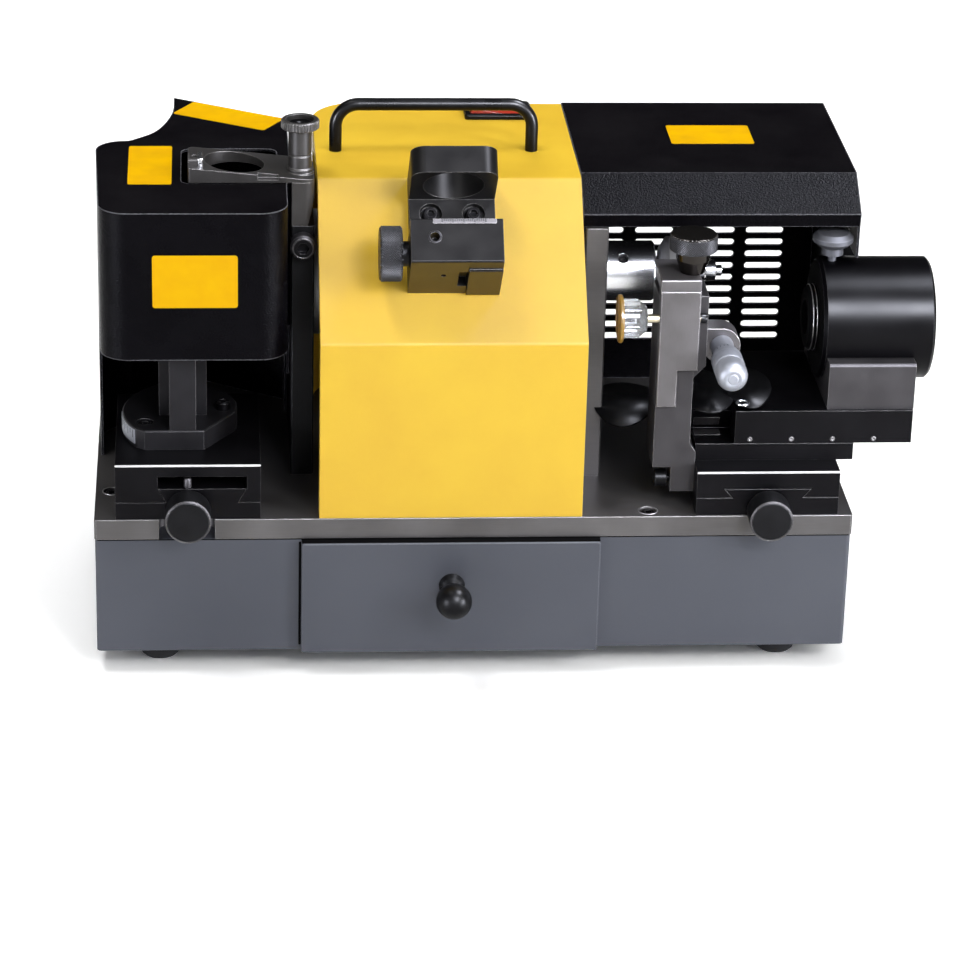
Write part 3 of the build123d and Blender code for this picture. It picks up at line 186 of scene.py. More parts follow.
@dataclass(frozen=True)
class Finish:
    """One opaque surface: a tinted base with grain, patches, soft edges, and a paler colour along them that is
    partly wear and partly painted highlight.

    Sizes are in millimetres. The grain has its own size along X, Y and Z, so a long one gives streaks.
    With a dusty top, settled grinding dust lies on the faces that look up and takes their gloss; its grey film
    also darkens light tops as painted shade.
    A bounce colour, where set, is painted on the faces that look down: a painted reflection of what lies below
    them.
    """

    name: str
    colour: str
    shade: str
    metallic: float = 0.0
    roughness: float = 0.5
    rough_spread: float = 0.08
    grain_mm: Point = even(0.6)
    grain_depth_mm: float = 0.02
    grain_tint: float = 0.1
    patch_mm: float = 25.0
    edge_mm: float = 0.5
    glint_and_wear_colour: str = "#808080"
    edge_wear_and_glint: float = 0.0
    specular: float = 0.5
    dust_and_shade_top: bool = False
    bounce_colour: str = ""

    def build(self) -> bpy.types.Material:
        """Makes the material.

        Returns:
            The material, ready to be put on a piece.
        """
        material = bare_material(self.name)
        tree = material.node_tree
        spot = add_node(tree, "ShaderNodeTexCoord").outputs["Object"]
        stretched = add_node(tree, "ShaderNodeMapping", {
            "Vector": spot, "Scale": [1 / (g * MM) for g in self.grain_mm]}).outputs["Vector"]
        grain = add_node(tree, "ShaderNodeTexNoise", {
            "Vector": stretched, "Scale": 1.0, "Detail": 3.0, "Roughness": 0.55}).outputs["Fac"]
        patch = add_node(tree, "ShaderNodeTexNoise", {
            "Vector": spot, "Scale": 1 / (self.patch_mm * MM), "Detail": 4.0}).outputs["Fac"]
        blend = add_node(tree, "ShaderNodeMath", {
            0: grain, 1: self.grain_tint, 2: patch}, operation="MULTIPLY_ADD").outputs[0]
        spread = add_node(tree, "ShaderNodeMapRange", {
            "Value": blend, "From Min": TINT_NOISE[0],
            "From Max": TINT_NOISE[1] + self.grain_tint}).outputs["Result"]
        base = add_node(tree, "ShaderNodeMix", {
            "Factor": spread, "A": linear(self.colour), "B": linear(self.shade)},
            data_type="RGBA").outputs["Result"]
        soft = add_node(tree, "ShaderNodeBevel", {"Radius": self.edge_mm * MM}, samples=4).outputs["Normal"]
        # Wear, and painted highlight: a paler colour mixed in along the rounded edges.
        if self.edge_wear_and_glint:
            base = self._paint_wear_glint(tree, base, soft, grain)
        # Painted reflection: where set, faces that look down take a colour standing in for what they reflect
        # from below.
        if self.bounce_colour:
            base = self._painted_bounce(tree, base)
        gloss: Socket | float = self.specular
        # Settled dust, and painted shade on light tops: a thin grey film on the faces that look up, which also
        # lose their gloss.
        if self.dust_and_shade_top:
            base = self._dust_and_shade_film(tree, base, patch)
            gloss = self._by_tilt(tree, TOP_TILT, self.specular, 0.0)
        rough = add_node(tree, "ShaderNodeMapRange", {
            "Value": blend, "From Min": ROUGH_NOISE[0], "From Max": ROUGH_NOISE[1] + self.grain_tint,
            "To Min": self.roughness - self.rough_spread,
            "To Max": self.roughness + self.rough_spread}).outputs["Result"]
        normal = add_node(tree, "ShaderNodeBump", {
            "Height": grain, "Normal": soft, "Strength": 1.0,
            "Distance": self.grain_depth_mm * MM}).outputs["Normal"]
        shader = add_node(tree, "ShaderNodeBsdfPrincipled", {
            "Base Color": base, "Metallic": self.metallic, "Roughness": rough, "Normal": normal,
            "Specular IOR Level": gloss})
        add_node(tree, "ShaderNodeOutputMaterial", {"Surface": shader.outputs["BSDF"]})
        return material

    @staticmethod
    def _by_tilt(tree: Tree, tilt: tuple[float, float], start: float, end: float) -> Socket:
        """Makes a value that changes with the way a face looks.

        Args:
            tree: the material's node tree.
            tilt: the two values of the normal's Z between which it changes.
            start: the value at the first of them.
            end: the value at the second.

        Returns:
            The socket that gives the value.
        """
        normal = add_node(tree, "ShaderNodeTexCoord").outputs["Normal"]
        upward = add_node(tree, "ShaderNodeSeparateXYZ", {0: normal}).outputs["Z"]
        return add_node(tree, "ShaderNodeMapRange", {
            "Value": upward, "From Min": tilt[0], "From Max": tilt[1],
            "To Min": start, "To Max": end}).outputs["Result"]

    def _painted_bounce(self, tree: Tree, base: Socket) -> Socket:
        """Paints the faces that look down with a painted reflection of what lies below them.

        Args:
            tree: the material's node tree.
            base: the colour of the other faces.

        Returns:
            The colour of them all.
        """
        return add_node(tree, "ShaderNodeMix", {
            "Factor": self._by_tilt(tree, UNDER_TILT, 0.0, 1.0), "A": base,
            "B": linear(self.bounce_colour)}, data_type="RGBA").outputs["Result"]

    def _dust_and_shade_film(self, tree: Tree, base: Socket, patch: Socket) -> Socket:
        """Lays a thin, uneven film of dust on the faces that look up; on light tops it is also painted shade.

        Args:
            tree: the material's node tree.
            base: the clean colour.
            patch: the pattern that the film follows.

        Returns:
            The colour under its film.
        """
        film = self._by_tilt(tree, TOP_TILT, 0.0, DUST_AND_SHADE_SHARE)
        uneven = add_node(tree, "ShaderNodeMath", {0: film, 1: patch}, operation="MULTIPLY").outputs[0]
        return add_node(tree, "ShaderNodeMix", {
            "Factor": uneven, "A": base, "B": linear(DUST_AND_SHADE)}, data_type="RGBA").outputs["Result"]

    def _paint_wear_glint(self, tree: Tree, base: Socket, soft: Socket, grain: Socket) -> Socket:
        """Mixes the paler edge colour in along the edges: partly wear, partly a painted highlight.

        Args:
            tree: the material's node tree.
            base: the colour away from the edges.
            soft: the rounded normal, which leaves the true one near an edge.
            grain: the pattern that breaks the worn line up.

        Returns:
            The colour with its wear and painted edge highlight.
        """
        true_normal = add_node(tree, "ShaderNodeNewGeometry").outputs["Normal"]
        near = add_node(tree, "ShaderNodeVectorMath", {0: soft, 1: true_normal}, operation="DOT_PRODUCT")
        edge = add_node(tree, "ShaderNodeMapRange", {
            "Value": near.outputs["Value"], "From Min": EDGE_BEND[0], "From Max": EDGE_BEND[1],
            "To Max": self.edge_wear_and_glint}).outputs["Result"]
        broken = add_node(tree, "ShaderNodeMapRange", {
            "Value": grain, "From Min": WEAR_GLINT_GRAIN[0], "From Max": WEAR_GLINT_GRAIN[1],
            "To Min": WEAR_GLINT_LEAST}).outputs["Result"]
        amount = add_node(tree, "ShaderNodeMath", {0: edge, 1: broken}, operation="MULTIPLY").outputs[0]
        return add_node(tree, "ShaderNodeMix", {
            "Factor": amount, "A": base, "B": linear(self.glint_and_wear_colour)}, data_type="RGBA").outputs["Result"]


@dataclass(frozen=True)
class ClearFinish:
    """A see-through moulding: acrylic, polished on the mould, with faint flow lines."""

    name: str
    colour: str
    ior: float = 1.49
    roughness: float = 0.04
    clearness: float = 0.9
    flow_mm: float = 4.0
    flow_depth_mm: float = 0.1

    def build(self) -> bpy.types.Material:
        """Makes the material.

        Returns:
            The material, ready to be put on a piece.
        """
        material = bare_material(self.name)
        tree = material.node_tree
        spot = add_node(tree, "ShaderNodeTexCoord").outputs["Object"]
        flow = add_node(tree, "ShaderNodeTexNoise", {
            "Vector": spot, "Scale": 1 / (self.flow_mm * MM), "Detail": 2.0}).outputs["Fac"]
        normal = add_node(tree, "ShaderNodeBump", {
            "Height": flow, "Strength": 0.5, "Distance": self.flow_depth_mm * MM}).outputs["Normal"]
        shader = add_node(tree, "ShaderNodeBsdfPrincipled", {
            "Base Color": linear(self.colour), "Roughness": self.roughness, "IOR": self.ior,
            "Transmission Weight": self.clearness, "Normal": normal})
        add_node(tree, "ShaderNodeOutputMaterial", {"Surface": shader.outputs["BSDF"]})
        return material


# Powder coat on folded sheet: even colour, a fine orange peel, little gloss; its pale yellow edge colour is a
# painted highlight.
YELLOW_COAT = Finish(
    "yellow_powder_coat", "#F5CC40", "#EDC038", roughness=0.5, grain_mm=even(0.9), grain_depth_mm=0.05,
    grain_tint=0.15, patch_mm=60, edge_mm=0.8, glint_and_wear_colour="#FFE08A", edge_wear_and_glint=0.35, specular=0.15,
    dust_and_shade_top=True)
# Textured black powder coat: a wrinkle that breaks highlights into specks, and catches light along the folds;
# its pale edge colour is a painted highlight along the rounded edges.
BLACK_COAT = Finish(
    "black_wrinkle_coat", "#060509", "#0A090E", roughness=0.27, grain_mm=even(1.0), grain_depth_mm=0.36,
    grain_tint=0.3, patch_mm=40, edge_mm=1.1, glint_and_wear_colour="#B4B4BE", edge_wear_and_glint=0.9, specular=0.032,
    dust_and_shade_top=True)
# Stoving enamel on the base: smooth, blue-grey, satin.
GREY_ENAMEL = Finish(
    "grey_stoving_enamel", "#4B4E58", "#52555F", roughness=0.42, grain_mm=even(1.4), patch_mm=120,
    edge_mm=0.7, glint_and_wear_colour="#9A9DA6", edge_wear_and_glint=0.5, specular=0.25)
# Ground plate steel, oiled: long fine scratches along the bed, stains, and edges rubbed pale.
BED_STEEL = Finish(
    "ground_bed_steel", "#4B4949", "#5F5D5C", metallic=0.55, roughness=0.42, rough_spread=0.12,
    grain_mm=(18, 0.5, 0.5), grain_tint=0.35, patch_mm=45, glint_and_wear_colour="#A7A5A3", edge_wear_and_glint=0.8, edge_mm=0.6,
    specular=0.25)
# Blackened steel: the machined surface shows through the oxide, and edges rub bright.
BLACK_STEEL = Finish(
    "blackened_steel", "#08070A", "#100F12", metallic=0.3, roughness=0.38, rough_spread=0.1,
    grain_mm=(3.0, 0.4, 0.4), grain_tint=0.35, patch_mm=30, glint_and_wear_colour="#8E8C8B", edge_wear_and_glint=0.5, edge_mm=0.4,
    specular=0.09)
# Oil-blacked steel, worn thin: a grey-brown between the black slides and bare steel.
BROWNED_STEEL = Finish(
    "oil_blacked_steel", "#141314", "#1E1D1C", metallic=0.3, roughness=0.38, grain_mm=(0.4, 0.4, 3.0),
    grain_tint=0.4, patch_mm=18, glint_and_wear_colour="#A3A09C", edge_wear_and_glint=0.7, specular=0.12)
# The same on the setting block, whose faces that look down carry an olive-brown painted reflection of the
# yellow cover below them.
BOUNCE_PAINTED_STEEL = replace(BROWNED_STEEL, name="blacked_steel_painted_bounce", bounce_colour="#4F4322")
# Chemically blacked post: darker and more even than the arm.
BLACKED_POST = Finish(
    "chemically_blacked_steel", "#19181B", "#232225", metallic=0.35, roughness=0.42, grain_mm=(0.4, 0.4, 3.0),
    grain_tint=0.4, patch_mm=18, glint_and_wear_colour="#8F8D8C", edge_wear_and_glint=0.6, edge_mm=0.45, specular=0.15)
# Phosphated arm steel: an even brown-grey, edges polished by handling.
ARM_STEEL = Finish(
    "phosphated_steel", "#363432", "#434140", metallic=0.45, roughness=0.42, grain_mm=(0.4, 0.4, 3.0),
    grain_tint=0.4, patch_mm=18, glint_and_wear_colour="#ABA8A4", edge_wear_and_glint=0.6, specular=0.25)
# Dull tool steel, dry milled: mid grey with a brown cast and rubbed edges.
DULL_STEEL = Finish(
    "dull_tool_steel", "#2F2D2F", "#3B393A", metallic=0.5, roughness=0.45, grain_mm=(0.4, 0.4, 4.0),
    grain_tint=0.4, patch_mm=20, glint_and_wear_colour="#B5B3B1", edge_wear_and_glint=0.6, specular=0.25)
# Milled bare steel: cutter marks up the face, cloudy patches, bright edges.
MILLED_STEEL = Finish(
    "milled_steel", "#504E4E", "#625F60", metallic=0.75, roughness=0.4, rough_spread=0.1,
    grain_mm=(0.35, 0.35, 6.0), grain_tint=0.4, patch_mm=22, glint_and_wear_colour="#DCDAD8", edge_wear_and_glint=0.75)
# Black gloss enamel on the work head: smooth enough to mirror a lamp as a soft band.
GLOSS_BLACK = Finish(
    "black_gloss_enamel", "#050407", "#08070B", roughness=0.31, rough_spread=0.05, grain_mm=even(2.0),
    grain_depth_mm=0.006, patch_mm=30, glint_and_wear_colour="#8E8D90", edge_wear_and_glint=0.5, specular=0.075)
# Black chrome on the height knob: dark and near mirror, so it shows what stands round it.
BLACK_CHROME = Finish(
    "black_chrome", "#2B2826", "#34312E", metallic=0.9, roughness=0.16, rough_spread=0.03,
    grain_mm=(2.0, 2.0, 0.3), grain_depth_mm=0.004, grain_tint=0.2, patch_mm=12, glint_and_wear_colour="#9A9895",
    edge_wear_and_glint=0.5, edge_mm=0.4)
# Satin nickel on the plunger's knob: mid grey, soft gloss.
SATIN_NICKEL = Finish(
    "satin_nickel", "#48494E", "#535459", metallic=0.3, roughness=0.55, rough_spread=0.05, grain_mm=even(0.4),
    grain_depth_mm=0.006, grain_tint=0.2, patch_mm=10, glint_and_wear_colour="#B4B5B9", edge_wear_and_glint=0.4, edge_mm=0.6,
    specular=0.25)
# Polished steel tube: near mirror, with faint rings from turning.
POLISHED_STEEL = Finish(
    "polished_steel", "#C9CACC", "#DADBDD", metallic=1.0, roughness=0.2, rough_spread=0.05,
    grain_mm=(0.3, 40, 40), grain_depth_mm=0.003, grain_tint=0.3, patch_mm=20)
# Bare ground edge: a thin line where the black has been stoned off, painted near-white as a painted highlight.
STONED_EDGE_GLINT = Finish(
    "stoned_edge_painted_glint", "#ECECEE", "#F6F6F7", metallic=0.1, roughness=0.45, rough_spread=0.1,
    grain_mm=(2.0, 0.3, 0.3), grain_depth_mm=0.006, grain_tint=0.3, patch_mm=12)
# Satin chrome on the micrometer: pale, even, soft gloss.
SATIN_CHROME = Finish(
    "satin_chrome", "#8E9199", "#999CA3", metallic=0.3, roughness=0.5, rough_spread=0.04, grain_mm=even(0.25),
    grain_depth_mm=0.004, patch_mm=15, glint_and_wear_colour="#F2F3F5", edge_wear_and_glint=0.4, specular=0.2)
# Fine-etched chrome where the thimble is gripped: the same metal, darker and duller.
ETCHED_CHROME = Finish(
    "etched_chrome", "#868991", "#92959C", metallic=0.35, roughness=0.55, rough_spread=0.05,
    grain_mm=even(0.3), grain_tint=0.3, patch_mm=10, specular=0.2)
# Phenolic knobs: black, moulded, with a soft shine.
PHENOLIC = Finish(
    "black_phenolic", "#0A0A0C", "#101013", roughness=0.4, grain_mm=even(1.2), grain_depth_mm=0.01,
    patch_mm=12, glint_and_wear_colour="#8C8C90", edge_wear_and_glint=0.4, specular=0.08)
# Feed knobs: turned steel, blacked dull, a fine grain on the face.
BLACKED_KNOB = Finish(
    "blacked_turned_steel", "#0A0A0C", "#111113", metallic=0.3, roughness=0.46, grain_mm=even(0.5),
    grain_depth_mm=0.012, grain_tint=0.3, patch_mm=10, glint_and_wear_colour="#9A9A9C", edge_wear_and_glint=0.6, edge_mm=0.4,
    specular=0.13)
# Knurled grip: rolled diamonds, blacked, their points rubbed grey.
KNURL = Finish(
    "knurled_blacked_steel", "#131315", "#1C1C1F", metallic=0.4, roughness=0.42, grain_depth_mm=0.01,
    grain_tint=0.3, patch_mm=6, glint_and_wear_colour="#8F8F93", edge_wear_and_glint=0.35, edge_mm=0.12, specular=0.3)
# Moulded ABS: a deep red, smooth where dust has not settled.
RED_ABS = Finish(
    "red_abs", "#B5382A", "#C0402F", roughness=0.3, grain_mm=even(0.4), grain_depth_mm=0.004, dust_and_shade_top=True)
# Moulded nylon: black, a faint sheen, its edges a little paler.
BLACK_NYLON = Finish(
    "black_nylon", "#08080A", "#0E0E11", roughness=0.3, grain_mm=even(0.35), grain_depth_mm=0.006,
    glint_and_wear_colour="#3C3C40", edge_wear_and_glint=0.3, specular=0.16, dust_and_shade_top=True)
# Bare label stock: vinyl film, a warm yellow with a slight gloss.
LABEL_FILM = Finish(
    "yellow_vinyl_film", "#FBC200", "#F6BA00", roughness=0.45, rough_spread=0.04, grain_mm=even(3.0),
    grain_depth_mm=0.006, patch_mm=14, edge_mm=0.2, specular=0.05, dust_and_shade_top=True)
# Turned acetal: amber, waxy and smooth.
AMBER = Finish("amber_acetal", "#9A7422", "#AC852C", roughness=0.3, grain_mm=even(0.5), grain_depth_mm=0.004)
# Nickelled brass: pale and warm, with the lathe's fine rings.
BRASS = Finish(
    "nickelled_brass", "#B9AE93", "#C6BCA3", metallic=1.0, roughness=0.28, grain_mm=(0.25, 20, 20),
    grain_depth_mm=0.01, grain_tint=0.3)
# Moulded rubber: black and dull.
RUBBER = Finish(
    "black_rubber", "#0E0E0F", "#161617", roughness=0.6, grain_mm=even(0.8), grain_depth_mm=0.03,
    specular=0.2)
# Flat black with no gloss at all, so it stays dark at a glancing look; laid as painted shadow by the drawer
# and under the bed, and as painted shade on the work head's end.
FLAT_BLACK = Finish(
    "flat_black", "#060607", "#0B0B0C", roughness=0.9, rough_spread=0.05, grain_mm=even(0.5),
    grain_depth_mm=0.03, specular=0.02)
# Rubber sheet: a thin moulded flap, faintly glossy, its cut edge paler.
RUBBER_SHEET = Finish(
    "black_rubber_sheet", "#09090B", "#101013", roughness=0.36, grain_mm=even(2.5), grain_depth_mm=0.03,
    grain_tint=0.2, patch_mm=14, glint_and_wear_colour="#6C6C70", edge_wear_and_glint=0.7, specular=0.12)
# Zinc-plated sheet: a dull grey, cloudy with its crystals.
ZINC = Finish(
    "zinc_plated_sheet", "#6F7274", "#7E8081", metallic=0.6, grain_mm=even(6), grain_depth_mm=0.004,
    grain_tint=0.3, patch_mm=18, specular=0.2)
# Cast aluminium: pale grey, with the skin of its sand mould.
CASTING = Finish(
    "cast_aluminium", "#8B8D90", "#9A9C9F", metallic=0.7, roughness=0.55, grain_mm=even(0.8),
    grain_depth_mm=0.06, grain_tint=0.2)
# Bonded grit: coarse, speckled and quite matt.
ABRASIVE = Finish(
    "bonded_grit", "#77777A", "#96969A", roughness=0.9, rough_spread=0.05, grain_mm=even(0.5),
    grain_depth_mm=0.2, grain_tint=0.8, patch_mm=8, specular=0.3)
# Graduations: black filled engraving.
INK = Finish(
    "black_engraving_fill", "#1A1A1C", "#232326", roughness=0.6, grain_mm=even(0.3), grain_depth_mm=0.002)
CLEAR = ClearFinish("clear_acrylic", "#F4F7F8")

NODE_FINISHES: dict[Finish | ClearFinish, tuple[str, ...]] = {
    YELLOW_COAT: ("motor_cover",),
    BLACK_COAT: ("wheel_cover", "right_hood", "rear_panel"),
    GREY_ENAMEL: ("base_box", "drawer_front"),
    ZINC: ("drawer_tray",),
    BED_STEEL: ("bed_plate", "right_bearing_plate"),
    BLACK_STEEL: ("cap_screws", "left_slide_base", "left_saddle", "right_slide_base", "right_saddle",
                  "cross_guide", "cross_slide", "swivel_screws"),
    FLAT_BLACK: ("work_spindle",),
    BROWNED_STEEL: ("setting_seat",),
    BOUNCE_PAINTED_STEEL: ("setting_block", "setting_gauge"),
    SATIN_NICKEL: ("index_plunger",),
    ARM_STEEL: ("chuck_arm", "arm_post", "index_key", "lock_knob"),
    BLACKED_POST: ("rest_post", "swivel_base"),
    DULL_STEEL: ("cradle", "rest_bracket"),
    KNURL: ("setting_knob",),
    BLACK_CHROME: ("height_knob",),
    MILLED_STEEL: ("height_slide", "slide_cap", "micrometer_clamp"),
    GLOSS_BLACK: ("work_head",),
    POLISHED_STEEL: ("motor_shaft", "spindle_tube", "wheel_clamps", "shaft_bearings"),
    SATIN_CHROME: ("micrometer_sleeve", "micrometer_spindle", "micrometer_thimble"),
    PHENOLIC: ("drawer_pull", "thumb_screw"),
    BLACKED_KNOB: ("left_feed_screw", "right_feed_screw", "left_bearing_plate"),
    BLACK_NYLON: ("switch_bezel", "cable_gland", "carry_handle"),
    RED_ABS: ("switch_rocker",),
    CLEAR: ("stop_knob",),
    AMBER: ("stop_disc",),
    BRASS: ("stop_screw",),
    RUBBER: ("rubber_feet", "dust_flap"),
    CASTING: ("motor_body",),
    ABRASIVE: ("left_wheel", "right_wheel"),
}


class Paint:
    """The finishes that have been mixed, one material for each."""

    mixed: dict[str, bpy.types.Material] = {}

    @classmethod
    def of(cls, finish: Finish | ClearFinish) -> bpy.types.Material:
        """Gives a finish's material, made the first time it is asked for.

        Args:
            finish: the finish.

        Returns:
            Its material.
        """
        if finish.name not in cls.mixed:
            cls.mixed[finish.name] = finish.build()
        return cls.mixed[finish.name]


def dress_solids() -> None:
    """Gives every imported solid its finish."""
    for finish, nodes in NODE_FINISHES.items():
        for name in nodes:
            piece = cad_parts[name]
            piece.data.materials.clear()
            piece.data.materials.append(Paint.of(finish))
        LOG.info("%s on %d solids", finish.name, len(nodes))


# Points nearer to each other than this become one.
MERGE_MM = 0.002


@dataclass
class Shape:
    """A mesh being shaped, by the steps that the added pieces share. Sizes are in millimetres."""

    mesh: bmesh.types.BMesh = field(default_factory=bmesh.new)

    @staticmethod
    def faces_of(verts: list[bmesh.types.BMVert]) -> list[bmesh.types.BMFace]:
        """Gives the faces round some points, each once."""
        return list(dict.fromkeys(face for vert in verts for face in vert.link_faces))

    def settle(self, verts: list[bmesh.types.BMVert], where: Matrix) -> "Shape":
        """Turns new faces outwards and takes them to their place.

        Args:
            verts: the new points.
            where: the move to their place.

        Returns:
            This shape.
        """
        bmesh.ops.recalc_face_normals(self.mesh, faces=self.faces_of(verts))
        bmesh.ops.transform(self.mesh, matrix=where, verts=verts)
        return self

    def block(self, size: Point, where: Matrix, round_mm: float = 0.2) -> "Shape":
        """Adds a box with rounded edges.

        Args:
            size: its width, depth and height.
            where: the place of its middle.
            round_mm: the edges' radius.

        Returns:
            This shape.
        """
        made = bmesh.ops.create_cube(self.mesh, size=1.0)["verts"]
        bmesh.ops.scale(self.mesh, vec=[s * MM for s in size], verts=made)
        bmesh.ops.transform(self.mesh, matrix=where, verts=made)
        edges = list(dict.fromkeys(edge for vert in made for edge in vert.link_edges))
        bmesh.ops.bevel(self.mesh, geom=edges, offset=round_mm * MM, segments=2, profile=0.5,
                        affect="EDGES", material=-1)
        return self

    def tile(self, size: Point, corner: float, where: Matrix) -> "Shape":
        """Adds a thin plate with round corners, lying on its place.

        Args:
            size: its width, length and thickness.
            corner: the corners' radius.
            where: the place of its underside's middle.

        Returns:
            This shape.
        """
        width, length, thick = (s * MM for s in size)
        made = bmesh.ops.create_grid(self.mesh, x_segments=1, y_segments=1, size=0.5)["verts"]
        bmesh.ops.scale(self.mesh, vec=(width, length, 1), verts=made)
        face = made[0].link_faces[0]
        rounded = bmesh.ops.bevel(self.mesh, geom=list(face.verts), offset=corner * MM, segments=5,
                                  profile=0.5, affect="VERTICES", material=-1)
        face = max(rounded["verts"][0].link_faces, key=lambda f: f.calc_area())
        raised = bmesh.ops.extrude_face_region(self.mesh, geom=[face], use_keep_orig=True)["geom"]
        lifted = [item for item in raised if isinstance(item, bmesh.types.BMVert)]
        bmesh.ops.translate(self.mesh, vec=(0, 0, thick), verts=lifted)
        return self.settle(lifted + list(face.verts), where)

    def turned(self, points: Outline, where: Matrix, steps: int = 48) -> "Shape":
        """Adds a turned form.

        Args:
            points: its outline.
            where: the place of its middle.
            steps: how many flats make the round.

        Returns:
            This shape.
        """
        before = set(self.mesh.verts)
        chain = [self.mesh.verts.new((r * MM, 0, z * MM)) for r, z in points]
        edges = [self.mesh.edges.new(pair) for pair in zip(chain, chain[1:])]
        bmesh.ops.spin(self.mesh, geom=chain + edges, cent=(0, 0, 0), axis=(0, 0, 1), angle=2 * math.pi,
                       steps=steps, use_merge=True)
        made = [vert for vert in self.mesh.verts if vert not in before]
        bmesh.ops.remove_doubles(self.mesh, verts=made, dist=MERGE_MM * MM)
        return self.settle([vert for vert in made if vert.is_valid], where)

    def knurl(self, radius: float, length: float, where: Matrix, pitch: float = 1.35,
              depth: float = 0.5) -> "Shape":
        """Adds a sleeve of rolled diamonds.

        Args:
            radius: the sleeve's radius at the foot of the diamonds.
            length: how far it runs along the piece's own Z, from its place.
            where: the place of its lower end's middle.
            pitch: the diamonds' width.
            depth: how far the diamonds' points stand out.

        Returns:
            This shape.
        """
        around = round(2 * math.pi * radius / pitch)
        along = max(1, round(length / pitch))
        made = bmesh.ops.create_grid(self.mesh, x_segments=around, y_segments=along, size=0.5)["verts"]
        squares = self.faces_of(made)
        sides = dict.fromkeys(edge for face in squares for edge in face.edges)
        inner = [edge for edge in sides if len(edge.link_faces) == 2]
        peaks = bmesh.ops.poke(self.mesh, faces=squares)["verts"]
        bmesh.ops.dissolve_edges(self.mesh, edges=inner, use_verts=False)
        points = bmesh.ops.poke(self.mesh, faces=self.faces_of(made + peaks), offset=depth * MM)["verts"]
        whole = made + peaks + points
        for vert in whole:
            angle = vert.co.x * 2 * math.pi
            reach = radius * MM + vert.co.z
            rise = (vert.co.y + 0.5) * length * MM
            vert.co = Vector((reach * math.cos(angle), reach * math.sin(angle), rise))
        bmesh.ops.remove_doubles(self.mesh, verts=whole, dist=MERGE_MM * MM)
        return self.settle([vert for vert in whole if vert.is_valid], where)

    def done(self, name: str, finish: Finish, body: str, slot: str,
             smooth_deg: float = 40.0) -> bpy.types.Object:
        """Makes the piece, which rides on its body.

        Args:
            name: the piece's name.
            finish: its finish.
            body: the moving body that carries it.
            slot: the record's material that it goes with; not used.
            smooth_deg: edges sharper than this stay sharp.

        Returns:
            The piece.
        """
        data = bpy.data.meshes.new(name)
        self.mesh.to_mesh(data)
        self.mesh.free()
        data.shade_smooth()
        data.set_sharp_from_angle(angle=math.radians(smooth_deg))
        data.materials.append(Paint.of(finish))
        piece = bpy.data.objects.new(name, data)
        bpy.context.scene.collection.objects.link(piece)
        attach(piece, body)
        LOG.info("%s rides on %s, %d faces", name, body, len(data.polygons))
        return piece


# Knurls keep their diamonds' edges sharp.
KNURL_SMOOTH_DEG = 20.0
COVER_FRONT = box_of("wheel_cover")[0].y
COVER_TOP = box_of("wheel_cover")[1].z
HOOD_TOP = box_of("right_hood")[1].z


@dataclass(frozen=True)
class LabelPlate:
    """A bare plate of vinyl film: its size, and the place of its underside's middle."""

    name: str
    width: float
    length: float
    where: Matrix


